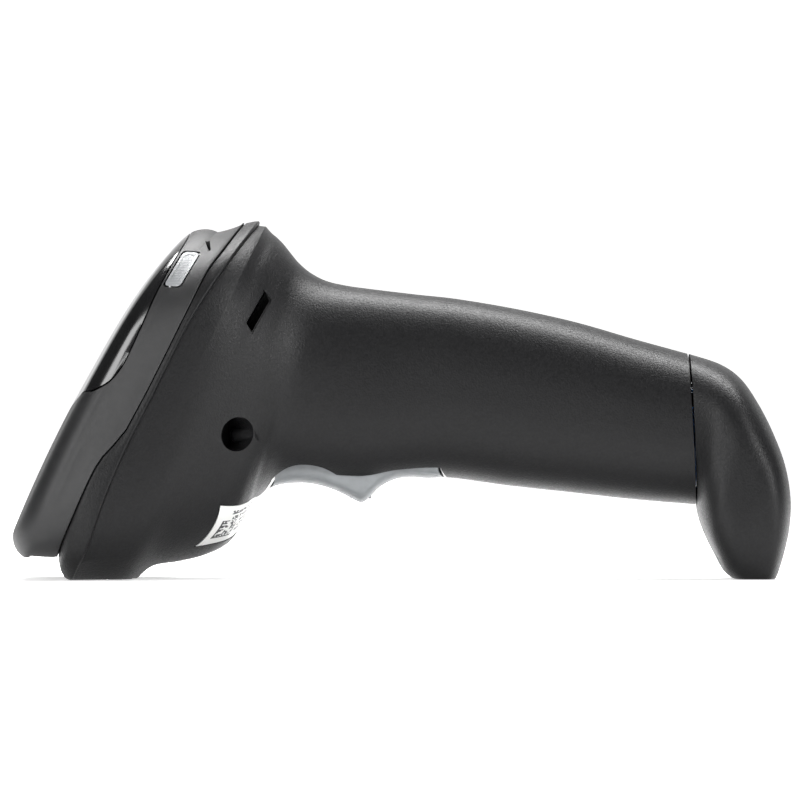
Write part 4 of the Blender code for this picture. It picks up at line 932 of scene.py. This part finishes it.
def fineAbs():
    # ABS moulded in a finely blasted tool: a satin black with a soft, even sheen
    made, tree, shader, place = newMaterial("fineAbs", {"IOR": 1.5, "Roughness": 0.5,
                                                         "Specular IOR Level": 0.4})
    mottle(tree, shader, place, "121213", "161617", 2.5)
    mottle(tree, shader, place, 0.5, 0.53, 0.8, "Roughness")
    grain(tree, shader, place, 0.22, 0.012)
    return made


def pianoPc():
    # polycarbonate moulded in a polished tool: a deep black mirror
    made, tree, shader, place = newMaterial("pianoPc", {"IOR": 1.58, "Roughness": 0.08})
    mottle(tree, shader, place, "0b0b0c", "0e0e0f", 6.0)
    mottle(tree, shader, place, 0.165, 0.18, 3.0, "Roughness")
    return made


def greyAbs():
    # ABS moulded in a lightly blasted tool, in mid grey: matt, with a soft edge to its light
    made, tree, shader, place = newMaterial("greyAbs", {"IOR": 1.5, "Roughness": 0.45})
    mottle(tree, shader, place, "717476", "777a7c", 2.0)
    mottle(tree, shader, place, 0.42, 0.5, 1.0, "Roughness")
    grain(tree, shader, place, 0.28, 0.02)
    return made


def frostedPc():
    # frosted polycarbonate with moulded ribs: pale, and lit through from its edges
    made, tree, shader, place = newMaterial("frostedPc", {"IOR": 1.58, "Roughness": 0.45,
                                                          "Transmission Weight": 0.15})
    mottle(tree, shader, place, "717375", "7c7e80", 3.0)
    ribPitch = 0.6 * mm
    wave = addNode(tree, "ShaderNodeTexWave", {"Scale": math.tau / (20 * ribPitch), "bands_direction": "Z"},
                   {"Vector": place})
    bump = addNode(tree, "ShaderNodeBump", {"Strength": 0.35, "Distance": 0.05 * mm},
                   {"Height": wave.outputs["Fac"]})
    tree.links.new(bump.outputs["Normal"], shader.inputs["Normal"])
    return made


def siliconeRubber():
    # moulded silicone: a dull black with a dusty sheen
    made, tree, shader, place = newMaterial("siliconeRubber", {"IOR": 1.41, "Roughness": 0.7,
                                                               "Sheen Weight": 0.15})
    mottle(tree, shader, place, "151515", "1c1c1c", 1.5)
    grain(tree, shader, place, 0.4, 0.02)
    return made


def redAcrylic():
    # cast acrylic tinted deep red: nearly black until light comes through it
    made, tree, shader, place = newMaterial("redAcrylic", {"IOR": 1.49, "Roughness": 0.04,
                                                           "Transmission Weight": 0.7})
    mottle(tree, shader, place, "4a0d12", "54101a", 8.0)
    return made


def solderMask():
    # glass-epoxy board under green solder mask: glossy, with the weave just showing
    made, tree, shader, place = newMaterial("solderMask", {"IOR": 1.55, "Roughness": 0.35})
    mottle(tree, shader, place, "12582f", "1a6b3a", 2.2)
    checker = addNode(tree, "ShaderNodeTexChecker", {"Scale": 1 / (0.8 * mm)}, {"Vector": place})
    bump = addNode(tree, "ShaderNodeBump", {"Strength": 0.3, "Distance": 0.02 * mm},
                   {"Height": checker.outputs["Fac"]})
    tree.links.new(bump.outputs["Normal"], shader.inputs["Normal"])
    return made


def plainAbs():
    # uncoloured-back ABS of inner frames: flat dark grey
    made, tree, shader, place = newMaterial("plainAbs", {"IOR": 1.5, "Roughness": 0.55})
    mottle(tree, shader, place, "38383a", "424244", 3.0)
    grain(tree, shader, place, 0.5, 0.02)
    return made


def shrinkSleeve():
    # blue PVC shrunk over the cell: glossy, with faint wrinkles
    made, tree, shader, place = newMaterial("shrinkSleeve", {"IOR": 1.53, "Roughness": 0.3})
    mottle(tree, shader, place, "1f4f8a", "255a99", 7.0)
    grain(tree, shader, place, 3.0, 0.08)
    return made


def zincSteel():
    # bright zinc on steel: a pale metal with a fine, uneven gloss
    made, tree, shader, place = newMaterial("zincSteel", {"Metallic": 1.0, "Roughness": 0.3})
    mottle(tree, shader, place, "b3b6ba", "c6c9cc", 1.2)
    mottle(tree, shader, place, 0.24, 0.36, 0.8, "Roughness")
    grain(tree, shader, place, 0.3, 0.006)
    return made


def goldFlash():
    # gold flashed over nickel: thin, bright and slightly streaked
    made, tree, shader, place = newMaterial("goldFlash", {"Metallic": 1.0, "Roughness": 0.22})
    mottle(tree, shader, place, "dcb368", "e8c27a", 0.8)
    mottle(tree, shader, place, 0.18, 0.28, 0.6, "Roughness")
    return made


labelPrint = {
    "ink": "2a2a2c", "paper": "dededc", "cell": 0.3, "code": (1.0, 1.7, 5.2, 5.9), "stroke": (0.3, 0.24),
    "lineHeight": 0.8,
    "lines": [(7.2, 2.2, 24.0), (6.05, 2.6, 21.0), (4.9, 5.7, 15.0), (3.7, 5.7, 20.0), (2.5, 5.7, 18.0)],
}


def printedFilm():
    # white polyester label film, thermally printed: satin white with dense small print
    made, tree, shader, _ = newMaterial("printedFilm", {"IOR": 1.5, "Roughness": 0.38})
    spread = (sum(label["halfSpan"]), label["height"], 1.0)
    place = addNode(tree, "ShaderNodeVectorMath", {"operation": "MULTIPLY", 1: spread},
                    {0: tree.nodes["Texture Coordinate"].outputs["UV"]})   # millimetres from the lower left
    sides = addNode(tree, "ShaderNodeSeparateXYZ", {}, {"Vector": place.outputs["Vector"]})

    def patch(x0, y0, x1, y1):
        # 1 within one rectangle of the label
        spans = [addNode(tree, "ShaderNodeMath", {"operation": "COMPARE", 1: (a + b) / 2, 2: (b - a) / 2},
                         {0: sides.outputs[axis]}) for axis, a, b in (("X", x0, x1), ("Y", y0, y1))]
        return addNode(tree, "ShaderNodeMath", {"operation": "MULTIPLY"},
                       {0: spans[0].outputs[0], 1: spans[1].outputs[0]}).outputs[0]

    def speckle(stepAcross, stepUp, share):
        # squares of one random value each, of which a share is inked
        steps = addNode(tree, "ShaderNodeVectorMath", {"operation": "DIVIDE", 1: (stepAcross, stepUp, 1.0)},
                        {0: place.outputs["Vector"]})
        squares = addNode(tree, "ShaderNodeVectorMath", {"operation": "FLOOR"},
                          {0: steps.outputs["Vector"]})
        noise = addNode(tree, "ShaderNodeTexWhiteNoise", {"noise_dimensions": "2D"},
                        {"Vector": squares.outputs["Vector"]})
        return addNode(tree, "ShaderNodeMath", {"operation": "LESS_THAN", 1: share},
                       {0: noise.outputs["Value"]}).outputs[0]

    x0, y0, x1, y1 = labelPrint["code"]
    cell = labelPrint["cell"]
    marks = [(patch(x0, y0, x1, y1), speckle(cell, cell, 0.5)),
             (patch(x0, y0, x0 + cell, y1), None), (patch(x0, y0, x1, y0 + cell), None)]
    strokes = speckle(*labelPrint["stroke"], 0.7)
    marks += [(patch(start, low, end, low + labelPrint["lineHeight"]), strokes)
              for low, start, end in labelPrint["lines"]]
    mix = addNode(tree, "ShaderNodeMix", {"data_type": "RGBA"})
    mix.inputs[6].default_value = toLinear(labelPrint["paper"])
    mix.inputs[7].default_value = toLinear(labelPrint["ink"])
    ink = None
    for area, pattern in marks:
        if pattern:
            area = addNode(tree, "ShaderNodeMath", {"operation": "MULTIPLY"},
                           {0: area, 1: pattern}).outputs[0]
        ink = area if ink is None else addNode(tree, "ShaderNodeMath", {"operation": "MAXIMUM"},
                                               {0: ink, 1: area}).outputs[0]
    tree.links.new(ink, mix.inputs[0])
    tree.links.new(mix.outputs[2], shader.inputs["Base Color"])
    return made


finishes = {
    "housing": sparkedAbs(), "cover": fineAbs(), "gloss": pianoPc(), "trigger": greyAbs(),
    "clear": frostedPc(), "rubber": siliconeRubber(), "window": redAcrylic(), "board": solderMask(),
    "inner": plainAbs(), "sleeve": shrinkSleeve(), "steel": zincSteel(), "gold": goldFlash(),
    "label": printedFilm(),
}
print("materials made")


# ---- pieces in place

def put(piece, finish, nodes, bodyName="root"):
    piece.data.materials.clear()
    piece.data.materials.append(finishes[finish])
    for polygon in piece.data.polygons:
        polygon.material_index = 0
    piece.data.shade_smooth()
    piece.data.set_sharp_from_angle(angle=math.radians(34))
    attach(piece, bodyName)
    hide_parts(*nodes)
    return piece


put(makeHousingHalf("housingLeft", -1), "housing", ["housing_left"])
put(makeHousingHalf("housingRight", 1), "housing", ["housing_right"])
print("housing made")
put(makeCover(), "cover", ["top_cover"])
put(makePanel(), "gloss", ["indicator_panel"])
put(makeLightGuide("guideLeft", -1), "clear", ["light_guide_left"])
put(makeLightGuide("guideRight", 1), "clear", ["light_guide_right"])
print("cover made")
put(makeTrigger(), "trigger", ["trigger"], "trigger_lever")
put(makeTail(), "housing", ["end_cap"])
labelBack = label["sink"] - body["touch"]
put(chinSheet("ratingLabel", labelBack - label["thick"], labelBack, 0.0), "label",
    ["rating_label"])
put(makeBezel(), "cover", ["window_bezel"])
caseReach = screws["reach"] + screws["seat"] + body["touch"]
for i, (x, z) in enumerate(screws["case"]):
    put(makeScrew(f"caseScrew{i + 1}", (x, -screws["reach"], z), (0, 1, 0), caseReach), "steel",
        [f"case_screw_{i + 1}"])
endStart = handlePoint(handle["endScrewPlace"], handle["cradleTop"] + handle["endScrewLift"])
endFoot = endStart - handleAxis() * (screws["endReach"] - body["touch"])
put(makeScrew("endScrew", endFoot, handleAxis(), screws["endReach"]), "steel", ["end_cap_screw"])
print("outer pieces made")

keptFinishes = {
    "inner": ["scan_engine", "engine_frame", "battery_cradle", "trigger_switch", "beeper"],
    "cover": ["lens_barrel", "switch_plunger"],
    "clear": ["illuminator_left", "illuminator_right", "aimer_lens", "indicator_led_left",
              "indicator_led_right"],
    "rubber": ["window_gasket", "end_cap_gasket"],
    "window": ["scan_window"],
    "board": ["main_board", "trigger_board", "sensor_board", "indicator_board"],
    "sleeve": ["battery_cell"],
    "steel": ["trigger_pin", "trigger_spring", "battery_contact_front", "battery_contact_rear",
              "processor_shield", "board_screw_1", "board_screw_2", "engine_screw_1", "engine_screw_2",
              "radio_module"],
    "gold": ["charge_contact_left", "charge_contact_right"],
}
for finish, names in keptFinishes.items():
    for name in names:
        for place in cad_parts[name].material_slots:
            place.material = finishes[finish]

# ---- the studio

studio = {
    "floorColour": "e6e6e6", "stageHalf": 6.0, "floorGlow": 0.6, "floorHeight": -0.0002,
    "worldLevel": 0.12,
    "lensMm": 400.0, "sensorMm": 36.0, "viewWidth": 0.184, "lookAt": (0.0, 0.0, 0.0409),
}


def seenDirectly(tree):
    # 1 for camera, glossy and transmission rays, and 0 for the rays that light the object
    path = addNode(tree, "ShaderNodeLightPath")
    seen = addNode(tree, "ShaderNodeMath", {"operation": "MAXIMUM"},
                   {0: path.outputs["Is Camera Ray"], 1: path.outputs["Is Glossy Ray"]})
    seen = addNode(tree, "ShaderNodeMath", {"operation": "MAXIMUM"},
                   {0: seen.outputs[0], 1: path.outputs["Is Transmission Ray"]})
    return seen.outputs[0]


def paleSurface(name, glow):
    # matt white paper: it reads white wherever it is seen, and it keeps the shadow
    made, tree, shader, place = newMaterial(name, {"Roughness": 0.95, "Specular IOR Level": 0.0,
                                                   "Base Color": toLinear(studio["floorColour"]),
                                                   "Emission Color": (1, 1, 1, 1)})
    reach = addNode(tree, "ShaderNodeVectorMath", {"operation": "LENGTH"}, {0: place})
    spread = addNode(tree, "ShaderNodeMapRange",
                     {"From Min": 0.15, "From Max": 0.6, "To Min": glow, "To Max": 1.0},
                     {"Value": reach.outputs["Value"]})
    level = addNode(tree, "ShaderNodeMath", {"operation": "MULTIPLY"},
                    {0: seenDirectly(tree), 1: spread.outputs[0]})
    tree.links.new(level.outputs[0], shader.inputs["Emission Strength"])
    return made


def stagePlane(name, corners, glow):
    mesh = bpy.data.meshes.new(name)
    mesh.from_pydata(corners, [], [tuple(range(len(corners)))])
    made = bpy.data.objects.new(name, mesh)
    bpy.context.scene.collection.objects.link(made)
    mesh.materials.append(paleSurface(name + "Paper", glow))
    return made


def lamp(name, place, aim, size, power):
    data = bpy.data.lights.new(name, "AREA")
    data.shape = "RECTANGLE"
    data.size, data.size_y = size
    data.energy = power
    made = bpy.data.objects.new(name, data)
    made.location = place
    made.rotation_euler = (Vector(aim) - Vector(place)).to_track_quat("-Z", "Y").to_euler()
    bpy.context.scene.collection.objects.link(made)
    return made


far = studio["stageHalf"]
low = studio["floorHeight"]
stagePlane("floor", [(-far, -far, low), (far, -far, low), (far, far, low), (-far, far, low)],
           studio["floorGlow"])
stagePlane("backdrop", [(-far, far, -0.1), (far, far, -0.1), (far, far, far), (-far, far, far)], 1.0)

world = bpy.data.worlds.new("studio")
bpy.context.scene.world = world
world.use_nodes = True
background = world.node_tree.nodes["Background"]
background.inputs["Color"].default_value = (1, 1, 1, 1)
background.inputs["Strength"].default_value = studio["worldLevel"]

lamp("overhead", (0.1, 0.25, 0.8), (0, 0, 0.04), (1.0, 0.25), 22.0)
lamp("left", (-0.78, -1.3, 0.52), (0, 0, 0.04), (0.7, 1.0), 20.0)
lamp("right", (1.2, -0.9, 0.5), (0, 0, 0.04), (0.3, 0.8), 17.0)

camera = bpy.data.cameras.new("camera")
camera.lens = studio["lensMm"]
camera.sensor_width = studio["sensorMm"]
eye = bpy.data.objects.new("camera", camera)
distance = studio["viewWidth"] * studio["lensMm"] / studio["sensorMm"]
eye.location = (studio["lookAt"][0], -distance, studio["lookAt"][2])
eye.rotation_euler = (math.radians(90), 0, 0)
camera.clip_end = 50
bpy.context.scene.collection.objects.link(eye)
bpy.context.scene.camera = eye
bpy.context.scene.view_settings.view_transform = "Standard"
print("studio made")
